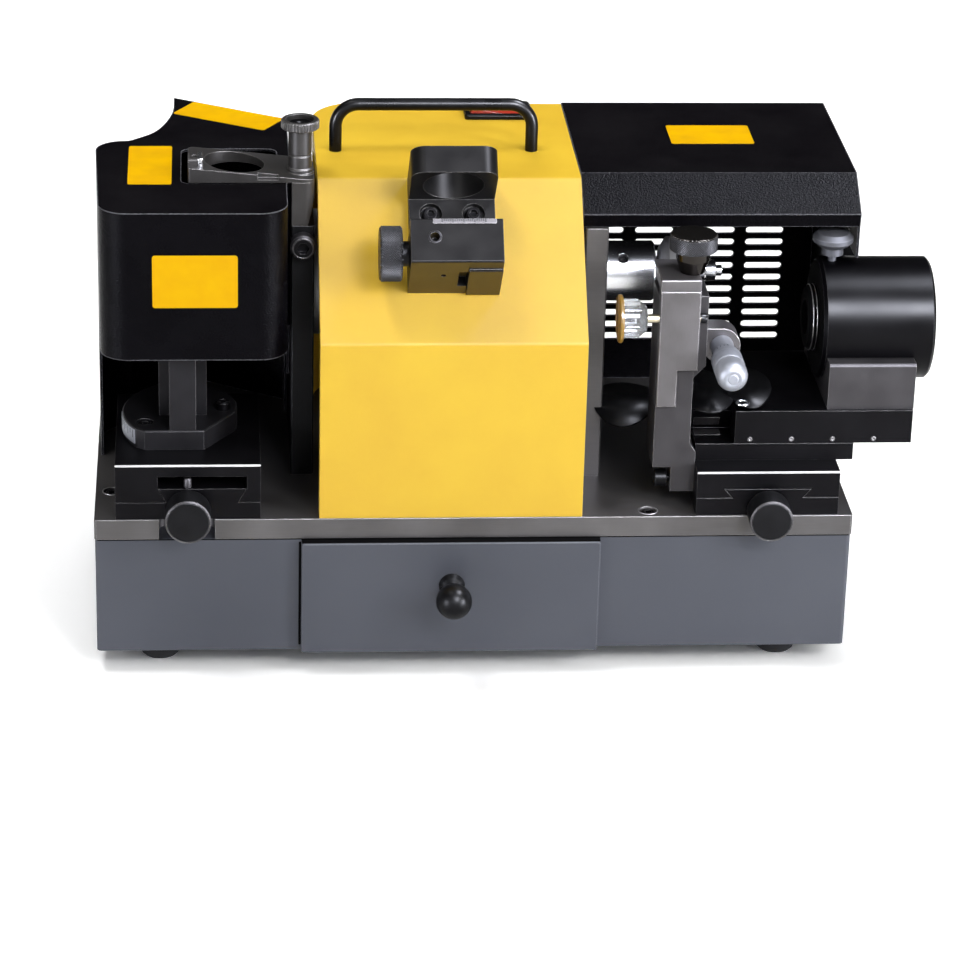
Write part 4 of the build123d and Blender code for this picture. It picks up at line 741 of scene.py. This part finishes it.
@dataclass
class Sheetwork:
    """The folded covers, base and bed: bare label plates, screws, screw rims, a buffer, and thin flat black
    strips that are painted shadow.
    """

    label_t: float = 0.35
    label_corner: float = 1.6
    labels: tuple[LabelPlate, ...] = (
        LabelPlate("front_label", 47.0, 30.8, place(57.5, COVER_FRONT, 137.8, Facing.FRONT)),
        LabelPlate("cover_label", 24.5, 64.4, place(32.4, 93.3, COVER_TOP)),
        LabelPlate("tail_label", 61.0, 24.4, place(77.3, 179.7, COVER_TOP, turn_deg=-30)),
        LabelPlate("hood_label", 48.4, 32.4, place(357.6, 146.8, HOOD_TOP)),
    )
    panel_screw_x: tuple[float, ...] = (296.0, 360.0, 424.0)
    panel_screw_z: tuple[float, ...] = (8.0, 168.0)
    # A low round head with a hollow socket.
    panel_screw: Outline = ((0, 0.6), (1.3, 0.6), (1.5, 1.7), (2.4, 1.5), (3.1, 0.8), (3.3, 0), (0, 0))
    # The bearing plate's screw has a lighter steel ring round its head, a painted highlight of the head's lit
    # side; the bed's screw holes have bright mouths.
    plate_screw_at: Point = (118.0, 54.0, 141.9)
    plate_screw_glint_ring: Outline = ((6.9, -7.6), (7.3, -7.6), (7.3, -1.3), (6.0, 0.06), (5.3, 0.06), (5.3, -0.4),
                          (6.9, -7.6))
    bed_screws: tuple[tuple[float, float], ...] = ((9.5, 40.0), (313.5, 8.5))
    bed_rim: Outline = ((4.9, 0.0), (5.0, 0.1), (5.5, 0.1), (5.8, 0.0), (4.9, 0.0))
    # A set screw stands in the spindle tube's wall, its socket outwards.
    tube_screw_x: float = 303.5
    tube_screw_deg: float = 46.0
    tube_screw: Outline = ((0, 13.2), (1.2, 13.2), (1.3, 15.0), (2.9, 15.0), (2.9, 11.0), (0, 11.0))
    # A rubber buffer on the outside of the hood's end wall, behind the work head.
    buffer_size: Point = (11.5, 10.0, 18.0)
    buffer_at: Point = (439.55, 131.0, 109.0)
    buffer_round: float = 1.0
    # Painted shadow, as thin flat black strips: how far they stand out, the line under the bed, and the strip
    # at the drawer's left side.
    shadow_t: float = 0.2
    shadow_round: float = 0.05
    shadow_line: float = 0.7
    shadow_end: float = 1.5
    shadow_gap: float = 0.05
    side_shadow_w: float = 1.4
    side_shadow_gap: float = 0.02
    side_shadow_low: float = 3.0
    side_shadow_high: float = 1.0
    # A painted shadow strip of flat black lies on the drawer's top edge, where the bed shades it, a little in
    # from the front and the ends.
    top_shadow_t: float = 0.4
    top_shadow_sink: float = 0.05
    top_shadow_end: float = 0.3
    top_shadow_front: float = 0.5
    top_shadow_round: float = 0.1

    def build(self) -> None:
        """Makes the labels, the screws, the buffer and the painted shadow strips."""
        for label in self.labels:
            plate = Shape().tile((label.width, label.length, self.label_t), self.label_corner, label.where)
            plate.done(label.name, LABEL_FILM, "base", "yellow_paint")
        self._screws()
        buffer = Shape().block(self.buffer_size, place(*self.buffer_at), self.buffer_round)
        buffer.done("hood_buffer", FLAT_BLACK, "base", "rubber")
        self._rims()
        self._painted_shadows()

    def _screws(self) -> None:
        """The back panel's screws, and the set screw in the spindle tube."""
        panel_back = box_of("rear_panel")[1].y
        screws = Shape()
        for z in self.panel_screw_z:
            for x in self.panel_screw_x:
                screws.turned(self.panel_screw, place(x, panel_back, z, Facing.BACK), 24)
        screws.done("panel_screws", BLACK_STEEL, "base", "black_steel")
        tube = middle_of("spindle_tube")
        tip = Matrix.Rotation(math.radians(self.tube_screw_deg), 4, "X")
        screw = Shape().turned(self.tube_screw, place(self.tube_screw_x, tube.y, tube.z) @ tip, 24)
        screw.done("tube_screw", BLACK_STEEL, "base", "black_steel")

    def _rims(self) -> None:
        """A painted highlight ring round the bearing plate's screw, and bright rims at the mouths of the bed's
        screw holes.
        """
        # Painted highlight: a lighter steel ring for the lit side of the screw's head.
        rim = Shape().turned(self.plate_screw_glint_ring, place(*self.plate_screw_at, Facing.FRONT))
        rim.done("plate_screw_painted_glint", DULL_STEEL, "base", "ground_steel")
        mouths = Shape()
        for x, y in self.bed_screws:
            mouths.turned(self.bed_rim, place(x, y, 0.0), 40)
        mouths.done("bed_screw_rims", MILLED_STEEL, "base", "ground_steel")

    def _painted_shadows(self) -> None:
        """Painted shadow as thin flat black strips: a line under the bed's front, and along the drawer's top
        and left edges.
        """
        bed_low, bed_high = box_of("bed_plate")
        low, high = box_of("drawer_front")
        mid = (low + high) / 2
        y = box_of("base_box")[0].y - self.shadow_t / 2
        shadow_strips = Shape()
        shadow_strips.block((bed_high.x - bed_low.x - 2 * self.shadow_end, self.shadow_t, self.shadow_line),
                   place((bed_low.x + bed_high.x) / 2, y, bed_low.z - self.shadow_line / 2), self.shadow_round)
        over = bed_low.z - self.shadow_line - high.z
        shadow_strips.block((high.x - low.x, self.shadow_t, over - 2 * self.shadow_gap),
                   place(mid.x, y, high.z + over / 2), self.shadow_round)
        side_shadow_low, side_shadow_high = low.z + self.side_shadow_low, high.z - self.side_shadow_high
        shadow_strips.block((self.side_shadow_w, self.shadow_t, side_shadow_high - side_shadow_low),
                   place(low.x - self.side_shadow_w / 2 - self.side_shadow_gap, y, (side_shadow_low + side_shadow_high) / 2),
                   self.shadow_round)
        shadow_strips.done("drawer_painted_shadow", FLAT_BLACK, "base", "rubber")
        # Painted shadow: the flat black strip on the drawer's top edge, where the bed shades it.
        strip = Shape().block(
            (high.x - low.x - 2 * self.top_shadow_end, high.y - low.y - self.top_shadow_front, self.top_shadow_t),
            place(mid.x, mid.y + self.top_shadow_front / 2, high.z + self.top_shadow_t / 2 - self.top_shadow_sink),
            self.top_shadow_round)
        strip.done("drawer_top_painted_shadow", FLAT_BLACK, "drawer", "rubber")


@dataclass
class ChuckArm:
    """The arm over the wheel cover: the key's spring clip and the plug in the lock knob's hollow."""

    clip_w: float = 2.4
    clip_t: float = 0.5
    clip_in: float = 1.6
    clip_off: float = 0.2
    clip_over: float = 0.8
    plug_z: float = 208.0
    plug: Outline = ((0, 0), (7.9, 0), (7.9, 0.5), (6.6, 0.9), (2.6, 0.9), (2.2, 0.2), (0, 0.2))

    def build(self) -> None:
        """Makes the clip, folded over the key's top and front, and the plug."""
        low, high = box_of("index_key")
        mid = (low + high) / 2
        x = high.x - self.clip_in
        clip = Shape()
        clip.block((self.clip_w, high.y - low.y + self.clip_over, self.clip_t),
                   place(x, mid.y, high.z + self.clip_off))
        clip.block((self.clip_w, self.clip_t, high.z - low.z),
                   place(x, low.y - self.clip_off, mid.z + self.clip_off))
        clip.done("key_clip", POLISHED_STEEL, "arm", "bright_steel")
        knob = middle_of("lock_knob")
        plug = Shape().turned(self.plug, place(knob.x, knob.y, self.plug_z))
        plug.done("lock_plug", BLACK_NYLON, "arm_lock", "black_plastic")


@dataclass
class SettingFixture:
    """The block on the sloped face: its scale strip, index lines and knurled knob."""

    fold_z: float = 105.3
    slope_deg: float = 45.4
    block_top: float = 42.8
    strip_size: Point = (35.0, 2.8, 0.3)
    strip_corner: float = 0.5
    strip_across: float = 4.4
    strip_up: float = 55.5
    lines: int = 21
    line_w: float = 0.7
    line_t: float = 0.2
    line_out: float = 0.35
    line_round: float = 0.04
    line_first: float = -8.0
    line_step: float = 1.2
    line_top: float = 56.7
    long_line: float = 2.0
    short_line: float = 1.2
    eye_across: float = -12.2
    eye_up: float = 46.2
    eye: Outline = ((2.6, 0.0), (2.8, 0.2), (3.6, 0.2), (4.0, 0.0), (2.6, 0.0))
    knob_up: float = 44.4
    knob_out: float = 24.0
    knob_r: float = 15.0
    knob_end: float = -42.0
    knob_w: float = 12.5
    knob_rim: float = 0.7

    def on_slope(self, across: float, up: float, out: float) -> Matrix:
        """Finds a place by the slope, in millimetres.

        Args:
            across: how far right of the setting block's middle.
            up: how far up the slope from its lower fold.
            out: how far out from it.

        Returns:
            The move to that place, with Z square to the slope.
        """
        tip = math.radians(self.slope_deg)
        y = box_of("motor_cover")[0].y + up * math.cos(tip) - out * math.sin(tip)
        z = self.fold_z + up * math.sin(tip) + out * math.cos(tip)
        return place(middle_of("setting_block").x + across, y, z) @ Matrix.Rotation(tip, 4, "X")

    def build(self) -> None:
        """Makes the strip, its lines, the ring round the block's hole and the knob's grip."""
        strip = Shape().tile(self.strip_size, self.strip_corner,
                             self.on_slope(self.strip_across, self.strip_up, self.block_top))
        strip.done("setting_scale", MILLED_STEEL, "base", "ground_steel")
        lines = Shape()
        for i in range(self.lines):
            tall = self.long_line if i % 5 == 0 else self.short_line
            spot = self.on_slope(self.line_first + self.line_step * i, self.line_top - tall / 2,
                                 self.block_top + self.line_out)
            lines.block((self.line_w, tall, self.line_t), spot, self.line_round)
        lines.done("setting_lines", INK, "base", "black_plastic")
        eye = Shape().turned(self.eye, self.on_slope(self.eye_across, self.eye_up, self.block_top), 32)
        eye.done("setting_eye", BLACKED_POST, "base", "ground_steel")
        start = self.on_slope(self.knob_end + self.knob_rim, self.knob_up, self.knob_out) @ Facing.RIGHT.value
        grip = Shape().knurl(self.knob_r, self.knob_w - 2 * self.knob_rim, start)
        grip.done("setting_grip", KNURL, "gauge_knob", "black_steel", KNURL_SMOOTH_DEG)


@dataclass
class FeedSlide:
    """One of the two carriages: the near-white edge over its front, a bare edge painted as a highlight, and
    its feed knob's rim.
    """

    side: str
    knob_r: float
    edge_side: float = 1.3
    edge_in: float = 0.57
    edge_round: float = 0.45
    edge_end: float = 0.05

    def build(self) -> None:
        """Makes the edge and the rim."""
        low, high = box_of(f"{self.side}_saddle")
        # Painted highlight: the near-white bare edge along the saddle's front top.
        edge = Shape().block((high.x - low.x + 2 * self.edge_end, self.edge_side, self.edge_side),
                             place((low.x + high.x) / 2, low.y + self.edge_in, high.z - self.edge_in),
                             self.edge_round)
        edge.done(f"{self.side}_saddle_edge_glint", STONED_EDGE_GLINT, f"{self.side}_carriage", "bright_steel")
        knob = middle_of(f"{self.side}_feed_screw")
        front = box_of(f"{self.side}_feed_screw")[0].y
        r = self.knob_r
        outline = ((r - 0.75, 0.0), (r - 0.6, 0.05), (r + 0.05, -0.5), (r + 0.05, -0.8), (r - 0.3, -0.8),
                   (r - 0.75, 0.0))
        rim = Shape().turned(outline, place(knob.x, front, knob.z, Facing.FRONT), 64)
        rim.done(f"{self.side}_knob_rim", DULL_STEEL, f"{self.side}_feed", "ground_steel")


@dataclass
class LeftRest:
    """The swivelling rest on the left carriage: its rim scale and the stop pin under the saddle."""

    rim_x: float = 62.33
    rim_y: float = 52.85
    rim_r: float = 46.62
    band_in: float = 0.3
    band_out: float = 0.45
    low: float = 35.0
    high: float = 43.4
    first_deg: float = 178.0
    last_deg: float = 213.0
    band_steps: int = 14
    lines: int = 9
    line_start_deg: float = 2.5
    line_step_deg: float = 3.75
    line_w: float = 0.4
    line_t: float = 0.3
    line_out: float = 0.42
    line_round: float = 0.05
    line_gap: float = 0.5
    long_line: float = 4.6
    short_line: float = 2.8
    pin_at: Point = (52.6, 4.6, 18.5)
    pin: Outline = ((0, 0), (2.2, 0), (2.2, 4.6), (1.6, 5.4), (0, 5.4))

    def build(self) -> None:
        """Makes the scale, its lines and the pin."""
        self._band()
        lines = Shape()
        for i in range(self.lines):
            tall = self.long_line if i % 2 == 0 else self.short_line
            spot = place(self.rim_x, self.rim_y, self.high - self.line_gap - tall / 2,
                         turn_deg=self.first_deg + self.line_start_deg + self.line_step_deg * i)
            out = Matrix.Translation(((self.rim_r + self.line_out) * MM, 0, 0))
            lines.block((self.line_t, self.line_w, tall), spot @ out, self.line_round)
        lines.done("swivel_lines", INK, "swivel", "black_plastic")
        pin = Shape().turned(self.pin, place(*self.pin_at), 32)
        pin.done("left_stop_pin", DULL_STEEL, "base", "ground_steel")

    def _band(self) -> None:
        """The scale: a thin band round part of the rim, spun from its cross-section."""
        band = Shape()
        inner, outer = self.rim_r - self.band_in, self.rim_r + self.band_out
        section = ((inner, self.low), (outer, self.low), (outer, self.high), (inner, self.high))
        ring = [band.mesh.verts.new((r * MM, 0, z * MM)) for r, z in section]
        sides = [band.mesh.edges.new((ring[i], ring[i - 1])) for i in range(len(ring))]
        bmesh.ops.spin(band.mesh, geom=ring + sides, cent=(0, 0, 0), axis=(0, 0, 1),
                       angle=math.radians(self.last_deg - self.first_deg), steps=self.band_steps)
        bmesh.ops.holes_fill(band.mesh, edges=band.mesh.edges[:], sides=len(ring))
        band.settle(band.mesh.verts[:], place(self.rim_x, self.rim_y, 0, turn_deg=self.first_deg))
        band.done("swivel_scale", SATIN_CHROME, "swivel", "satin_chrome")


@dataclass
class CrossSlide:
    """The work head and its slide: gib screws, lighter strips on part of its ways, and the head's trim."""

    gib_x: tuple[float, ...] = (371.4, 395.2, 418.8, 442.4)
    gib_z: float = 39.4
    # A small set screw with a hollow socket.
    gib_screw: Outline = ((0, -0.9), (0.7, -0.9), (0.75, 0.2), (1.0, 0.25), (1.25, 0.05), (1.25, -3.0),
                          (0, -3.0))
    dovetail_deg: float = 24.1
    way_corner: float = 0.5
    lean_way: Point = (15.0, 6.0, 0.1)
    lean_way_at: Point = (348.8, 39.6, 41.96)
    flat_way: Point = (15.0, 8.0, 0.1)
    flat_way_at: Point = (348.8, 35.5, 36.6)
    head_end_painted_shade: Outline = ((19.2, 0.0), (19.2, 0.25), (32.6, 0.25), (33.0, 0.0), (19.2, 0.0))
    ring_out: tuple[float, ...] = (1.2, 3.4)
    nose_ring: Outline = ((18.8, 0.0), (19.12, 0.1), (19.12, 0.5), (18.8, 0.6), (18.8, 0.0))

    def build(self) -> None:
        """Makes the screws, the lighter way strips and the head's trim."""
        front = box_of("cross_slide")[0].y
        screws = Shape()
        for x in self.gib_x:
            screws.turned(self.gib_screw, place(x, front, self.gib_z, Facing.FRONT), 20)
        screws.done("gib_screws", MILLED_STEEL, "cross", "bright_steel")
        lean = Matrix.Rotation(math.radians(self.dovetail_deg), 4, "X")
        ways = Shape().tile(self.lean_way, self.way_corner, place(*self.lean_way_at, Facing.FRONT) @ lean)
        ways.tile(self.flat_way, self.way_corner, place(*self.flat_way_at))
        ways.done("pale_way_strips", DULL_STEEL, "right_carriage", "ground_steel")
        self._head()

    def _head(self) -> None:
        """A flat black ring laid on the work head's end as painted shade, and the bright rings on its nose."""
        left = box_of("work_head")[0].x
        mid = middle_of("work_head")
        axis = place(left, mid.y, mid.z, Facing.LEFT)
        # Painted shade: flat black laid on the head's end face.
        Shape().turned(self.head_end_painted_shade, axis, 64).done("head_end_painted_shade", FLAT_BLACK, "cross", "black_paint")
        rings = Shape()
        for out in self.ring_out:
            rings.turned(self.nose_ring, axis @ Matrix.Translation((0, 0, out * MM)), 64)
        rings.done("nose_rings", MILLED_STEEL, "spindle", "ground_steel")


@dataclass
class ToothRest:
    """The upright rest: height knob, stop screw and micrometer."""

    grip_low: float = 152.2
    grip_length: float = 8.4
    knob_r: float = 13.0
    cap_x: float = 338.9
    cap: Outline = ((0, 0), (2.9, 0), (2.9, 3.2), (2.4, 3.9), (0, 3.9))
    # The thimble: a dished and domed end, a groove, a straight grip and a tapered rim.
    thimble_r: float = 8.8
    end: Outline = ((0, 0.2), (2.6, 0.2), (2.9, 0.5), (3.3, 0.5), (4.4, 0.1), (5.6, 0.5), (7.2, 1.6),
                    (8.2, 3.2), (8.7, 5.0))
    shaft: Outline = ((8.8, 7.0), (8.8, 14.0), (8.6, 14.2), (8.6, 14.6), (8.8, 14.8), (8.8, 29.0))
    rim: Outline = ((7.8, 34.0), (6.9, 34.0), (6.9, 6.0), (0, 6.0))
    etched: Outline = ((8.7, 15.4), (8.86, 15.5), (8.86, 24.4), (8.7, 24.5))
    lines: int = 25
    line_w: float = 0.28
    line_t: float = 0.3
    line_round: float = 0.04
    line_top: float = 32.4
    line_sink: float = 0.16
    long_line: float = 3.4
    short_line: float = 2.2
    taper: tuple[float, float] = (1.0, 5.0)

    def build(self) -> None:
        """Makes the knob's grip, the thimble with its lines and the stop screw's cap."""
        knob = middle_of("height_knob")
        grip = Shape().knurl(self.knob_r, self.grip_length, place(knob.x, knob.y, self.grip_low))
        grip.done("height_grip", KNURL, "lift_knob", "black_steel", KNURL_SMOOTH_DEG)
        self._thimble()
        stop = middle_of("stop_screw")
        cap = Shape().turned(self.cap, place(self.cap_x, stop.y, stop.z, Facing.RIGHT), 24)
        cap.done("stop_cap", BLACK_NYLON, "stop", "black_plastic")

    def _thimble(self) -> None:
        """A thimble with a domed end, an etched grip and its ring of graduations."""
        mid = middle_of("micrometer_thimble")
        axis = place(mid.x, box_of("micrometer_thimble")[0].y, mid.z, Facing.BACK)
        body = Shape().turned(self.end + self.shaft + self.rim, axis, 64)
        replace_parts(body.done("thimble", SATIN_CHROME, "mic_thimble", "satin_chrome"), "micrometer_thimble")
        grip = Shape().turned(self.etched, axis, 64)
        grip.done("thimble_grip", ETCHED_CHROME, "mic_thimble", "satin_chrome")
        lean = Matrix.Rotation(-math.atan2(*self.taper), 4, "Y")
        lines = Shape()
        for i in range(self.lines):
            tall = self.long_line if i % 5 == 0 else self.short_line
            turn = Matrix.Rotation(2 * math.pi * i / self.lines, 4, "Z")
            spot = Matrix.Translation((
                (self.thimble_r - self.line_sink * tall) * MM, 0, (self.line_top - tall / 2) * MM))
            lines.block((self.line_t, self.line_w, tall), axis @ turn @ spot @ lean, self.line_round)
        lines.done("thimble_lines", INK, "mic_thimble", "black_plastic")


@dataclass(frozen=True)
class Leaf:
    """One rubber leaf: its middle, its half sizes, its rim's lift, the way that lifts most, and its ripple."""

    middle: Point
    half_w: float
    half_d: float
    lift: float
    toward_deg: float
    ripple: float = 0.5
    waves: tuple[float, float] = (3.0, 2.0)

    def shape(self, x: float, y: float) -> Vector:
        """Curls a point of the flat round sheet.

        Args:
            x: how far right it is, as a share of the half width.
            y: how far back it is, as a share of the half depth.

        Returns:
            The point on the machine, in metres.
        """
        way = math.radians(self.toward_deg)
        out = max(0.0, x * math.cos(way) + y * math.sin(way))
        wave = self.ripple * math.sin(self.waves[0] * x + self.waves[1] * y)
        curled = Vector((x * self.half_w, y * self.half_d, self.lift * out ** 2 + wave)) * MM
        return place(*self.middle) @ curled


@dataclass
class DustLeaves:
    """Thin rubber leaves that keep grit off the slide: flat at the root, curled at the rim."""

    thick: float = 1.2
    rings: int = 9
    sides: int = 56
    inset: float = 0.9
    leaves: tuple[Leaf, ...] = (
        Leaf((348.0, 41.0, 59.2), 15.5, 31.5, 1.5, 300.0),
        Leaf((371.5, 44.0, 60.8), 13.6, 29.5, 3.0, 350.0),
        Leaf((305.0, 64.0, 46.0), 20.0, 21.0, -9.0, 250.0),
    )
    eyelet_at: Point = (366.0, 19.5, 61.2)
    eyelet: Outline = ((2.6, 0.0), (2.7, 0.7), (3.3, 1.0), (3.9, 0.7), (4.1, 0.0), (2.6, 0.0))

    def build(self) -> None:
        """Makes the leaves as one sheet, in place of their solid, and the eyelet in it."""
        shape = Shape()
        for leaf in self.leaves:
            before = set(shape.mesh.verts)
            bmesh.ops.create_circle(shape.mesh, cap_ends=True, segments=self.sides, radius=1.0)
            face = next(f for f in shape.mesh.faces if not before.intersection(f.verts))
            for _ in range(self.rings):
                bmesh.ops.inset_region(shape.mesh, faces=[face], thickness=self.inset / self.rings)
            bmesh.ops.poke(shape.mesh, faces=[face])
            for vert in set(shape.mesh.verts) - before:
                vert.co = leaf.shape(vert.co.x, vert.co.y)
        piece = shape.done("dust_leaves", RUBBER_SHEET, "right_carriage", "rubber", 60)
        wall = piece.modifiers.new("wall", "SOLIDIFY")
        wall.thickness = self.thick * MM
        wall.offset = 0.0
        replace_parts(piece, "dust_flap")
        eyelet = Shape().turned(self.eyelet, place(*self.eyelet_at), 36)
        eyelet.done("leaf_eyelet", POLISHED_STEEL, "right_carriage", "bright_steel")


# The soft boxes behind the highlights are a little cool, as daylight through a diffuser is.
SHEEN_TINT = "#EFF2FF"


class Sight(Enum):
    """What a lamp does: light the surfaces, show as a highlight in glossy ones, or both."""

    BOTH = "both"
    FILL = "fill"
    GLOSS = "gloss"


@dataclass(frozen=True)
class Lamp:
    """A soft box, in metres and watts."""

    name: str
    spot: Point
    target: Point
    width: float
    height: float
    power: float
    sight: Sight = Sight.BOTH

    def hang(self) -> None:
        """Puts the lamp in its place, turned to its target."""
        box = bpy.data.lights.new(self.name, "AREA")
        box.shape = "RECTANGLE"
        box.size = self.width
        box.size_y = self.height
        box.energy = self.power
        if self.sight is Sight.GLOSS:
            box.color = linear(SHEEN_TINT)[:3]
        holder = bpy.data.objects.new(self.name, box)
        holder.location = self.spot
        aim = Vector(self.target) - Vector(self.spot)
        holder.rotation_euler = aim.to_track_quat("-Z", "Y").to_euler()
        holder.visible_diffuse = self.sight is not Sight.GLOSS
        holder.visible_glossy = self.sight is not Sight.FILL
        bpy.context.scene.collection.objects.link(holder)


@dataclass
class Studio:
    """Pale floor, soft lamps and the camera at the photograph's angle."""

    eye: Point = (-0.175159, -1.999836, 0.975523)
    yaw_deg: float = -4.6192
    down_deg: float = 24.1541
    roll_deg: float = 1.5355
    lens_mm: float = 139.46
    sensor_mm: float = 36.0
    far_m: float = 50.0
    floor_m: float = 12.0
    floor_colour: str = "#F2F2F2"
    floor_gain: float = 1.6
    lamps: tuple[Lamp, ...] = (
        Lamp("key_box", (0.85, -2.2, 1.75), (0.05, 0.0, 0.15), 0.6, 0.5, 20.0),
        Lamp("right_strip", (1.2, -0.95, 0.85), (0.0, 0.0, 0.15), 0.35, 1.1, 12.0),
        Lamp("left_strip", (-1.7, -1.3, 0.8), (-0.1, 0.0, 0.15), 0.25, 1.2, 2.0),
        Lamp("top_box", (-0.7, -0.2, 2.2), (-0.1, 0.0, 0.2), 0.8, 0.6, 14.0),
        Lamp("back_wash", (-0.2, 2.3, 1.9), (-0.1, 0.8, 0.0), 1.6, 0.8, 26.0, Sight.FILL),
        Lamp("head_sheen", (0.75, -2.3, 1.9), (0.15, 0.0, 0.2), 1.0, 1.0, 370.0, Sight.GLOSS),
        Lamp("hood_sheen", (1.15, -0.05, 2.4), (0.12, 0.0, 0.2), 0.8, 0.6, 200.0, Sight.GLOSS),
        Lamp("left_sheen", (-1.5, -1.2, 0.3), (-0.2, 0.0, 0.2), 0.3, 0.5, 64.0, Sight.GLOSS),
        Lamp("right_sheen", (1.3, -1.0, 0.32), (-0.1, 0.0, 0.2), 0.3, 0.5, 85.0, Sight.GLOSS),
    )
    sky: float = 0.42
    ceiling: float = 0.05
    # The white sweep fades to the ceiling between these two heights, and leans back by its tilt.
    sweep_low: float = 0.12
    sweep_high: float = 0.32
    sweep_tilt: float = 0.35

    def build(self) -> None:
        """Makes the whole set."""
        self._floor()
        for lamp in self.lamps:
            lamp.hang()
        self._world()
        self._camera()
        bpy.context.scene.view_settings.view_transform = "Standard"

    @staticmethod
    def _seen(tree: Tree) -> Socket:
        """Tells the rays that see the set from those that only light it.

        Args:
            tree: the floor's or the world's node tree.

        Returns:
            One where a ray comes from the camera, a mirror or a clear piece, otherwise zero.
        """
        ray = add_node(tree, "ShaderNodeLightPath").outputs
        mirror = add_node(tree, "ShaderNodeMath", {
            0: ray["Is Glossy Ray"], 1: ray["Is Transmission Ray"]}, operation="MAXIMUM")
        return add_node(tree, "ShaderNodeMath", {
            0: ray["Is Camera Ray"], 1: mirror.outputs[0]}, operation="MAXIMUM").outputs[0]

    def _floor(self) -> None:
        """A wide pale floor that is white where it is seen and keeps its shadow."""
        mesh = bpy.data.meshes.new("floor")
        shape = bmesh.new()
        bmesh.ops.create_grid(shape, x_segments=1, y_segments=1, size=self.floor_m)
        shape.to_mesh(mesh)
        shape.free()
        floor = bpy.data.objects.new("floor", mesh)
        bpy.context.scene.collection.objects.link(floor)
        material = bare_material("pale_floor")
        tree = material.node_tree
        pale = linear(self.floor_colour)
        bright = (*(self.floor_gain * c for c in pale[:3]), 1.0)
        colour = add_node(tree, "ShaderNodeMix", {
            "Factor": self._seen(tree), "A": pale, "B": bright}, data_type="RGBA").outputs["Result"]
        diffuse = add_node(tree, "ShaderNodeBsdfDiffuse", {"Color": colour})
        add_node(tree, "ShaderNodeOutputMaterial", {"Surface": diffuse.outputs[0]})
        mesh.materials.append(material)

    def _world(self) -> None:
        """A pale sky for fill light; where it is seen, a white sweep, tall in front, under a dark ceiling."""
        world = bpy.data.worlds.new("studio")
        world.use_nodes = True
        tree = world.node_tree
        tree.nodes.clear()
        way = add_node(tree, "ShaderNodeTexCoord").outputs["Generated"]
        part = add_node(tree, "ShaderNodeSeparateXYZ", {0: way}).outputs
        tilted = add_node(tree, "ShaderNodeMath", {
            0: part["Y"], 1: self.sweep_tilt, 2: part["Z"]}, operation="MULTIPLY_ADD")
        sweep = add_node(tree, "ShaderNodeMapRange", {
            "Value": tilted.outputs[0], "From Min": self.sweep_low, "From Max": self.sweep_high,
            "To Min": 1.0, "To Max": self.ceiling})
        level = add_node(tree, "ShaderNodeMix", {
            "Factor": self._seen(tree), "A": self.sky, "B": sweep.outputs["Result"]})
        glow = add_node(tree, "ShaderNodeBackground", {"Strength": level.outputs["Result"]})
        add_node(tree, "ShaderNodeOutputWorld", {"Surface": glow.outputs[0]})
        bpy.context.scene.world = world

    def _camera(self) -> None:
        """The camera, from the photograph's own eye point."""
        lens = bpy.data.cameras.new("camera")
        lens.lens = self.lens_mm
        lens.sensor_width = self.sensor_mm
        lens.clip_end = self.far_m
        camera = bpy.data.objects.new("camera", lens)
        turn = Matrix.Rotation(math.radians(self.yaw_deg), 4, "Z")
        tip = Matrix.Rotation(math.radians(90 - self.down_deg), 4, "X")
        roll = Matrix.Rotation(math.radians(self.roll_deg), 4, "Z")
        camera.matrix_world = Matrix.Translation(self.eye) @ turn @ tip @ roll
        bpy.context.scene.collection.objects.link(camera)
        bpy.context.scene.camera = camera


def main() -> None:
    """Dresses the part, piece by piece, and builds the set."""
    logging.basicConfig(level=logging.INFO, format="%(name)s: %(message)s")
    dress_solids()
    Sheetwork().build()
    ChuckArm().build()
    SettingFixture().build()
    FeedSlide("left", knob_r=12.8).build()
    FeedSlide("right", knob_r=12.2).build()
    LeftRest().build()
    CrossSlide().build()
    ToothRest().build()
    DustLeaves().build()
    Studio().build()


if __name__ == "__main__":
    main()
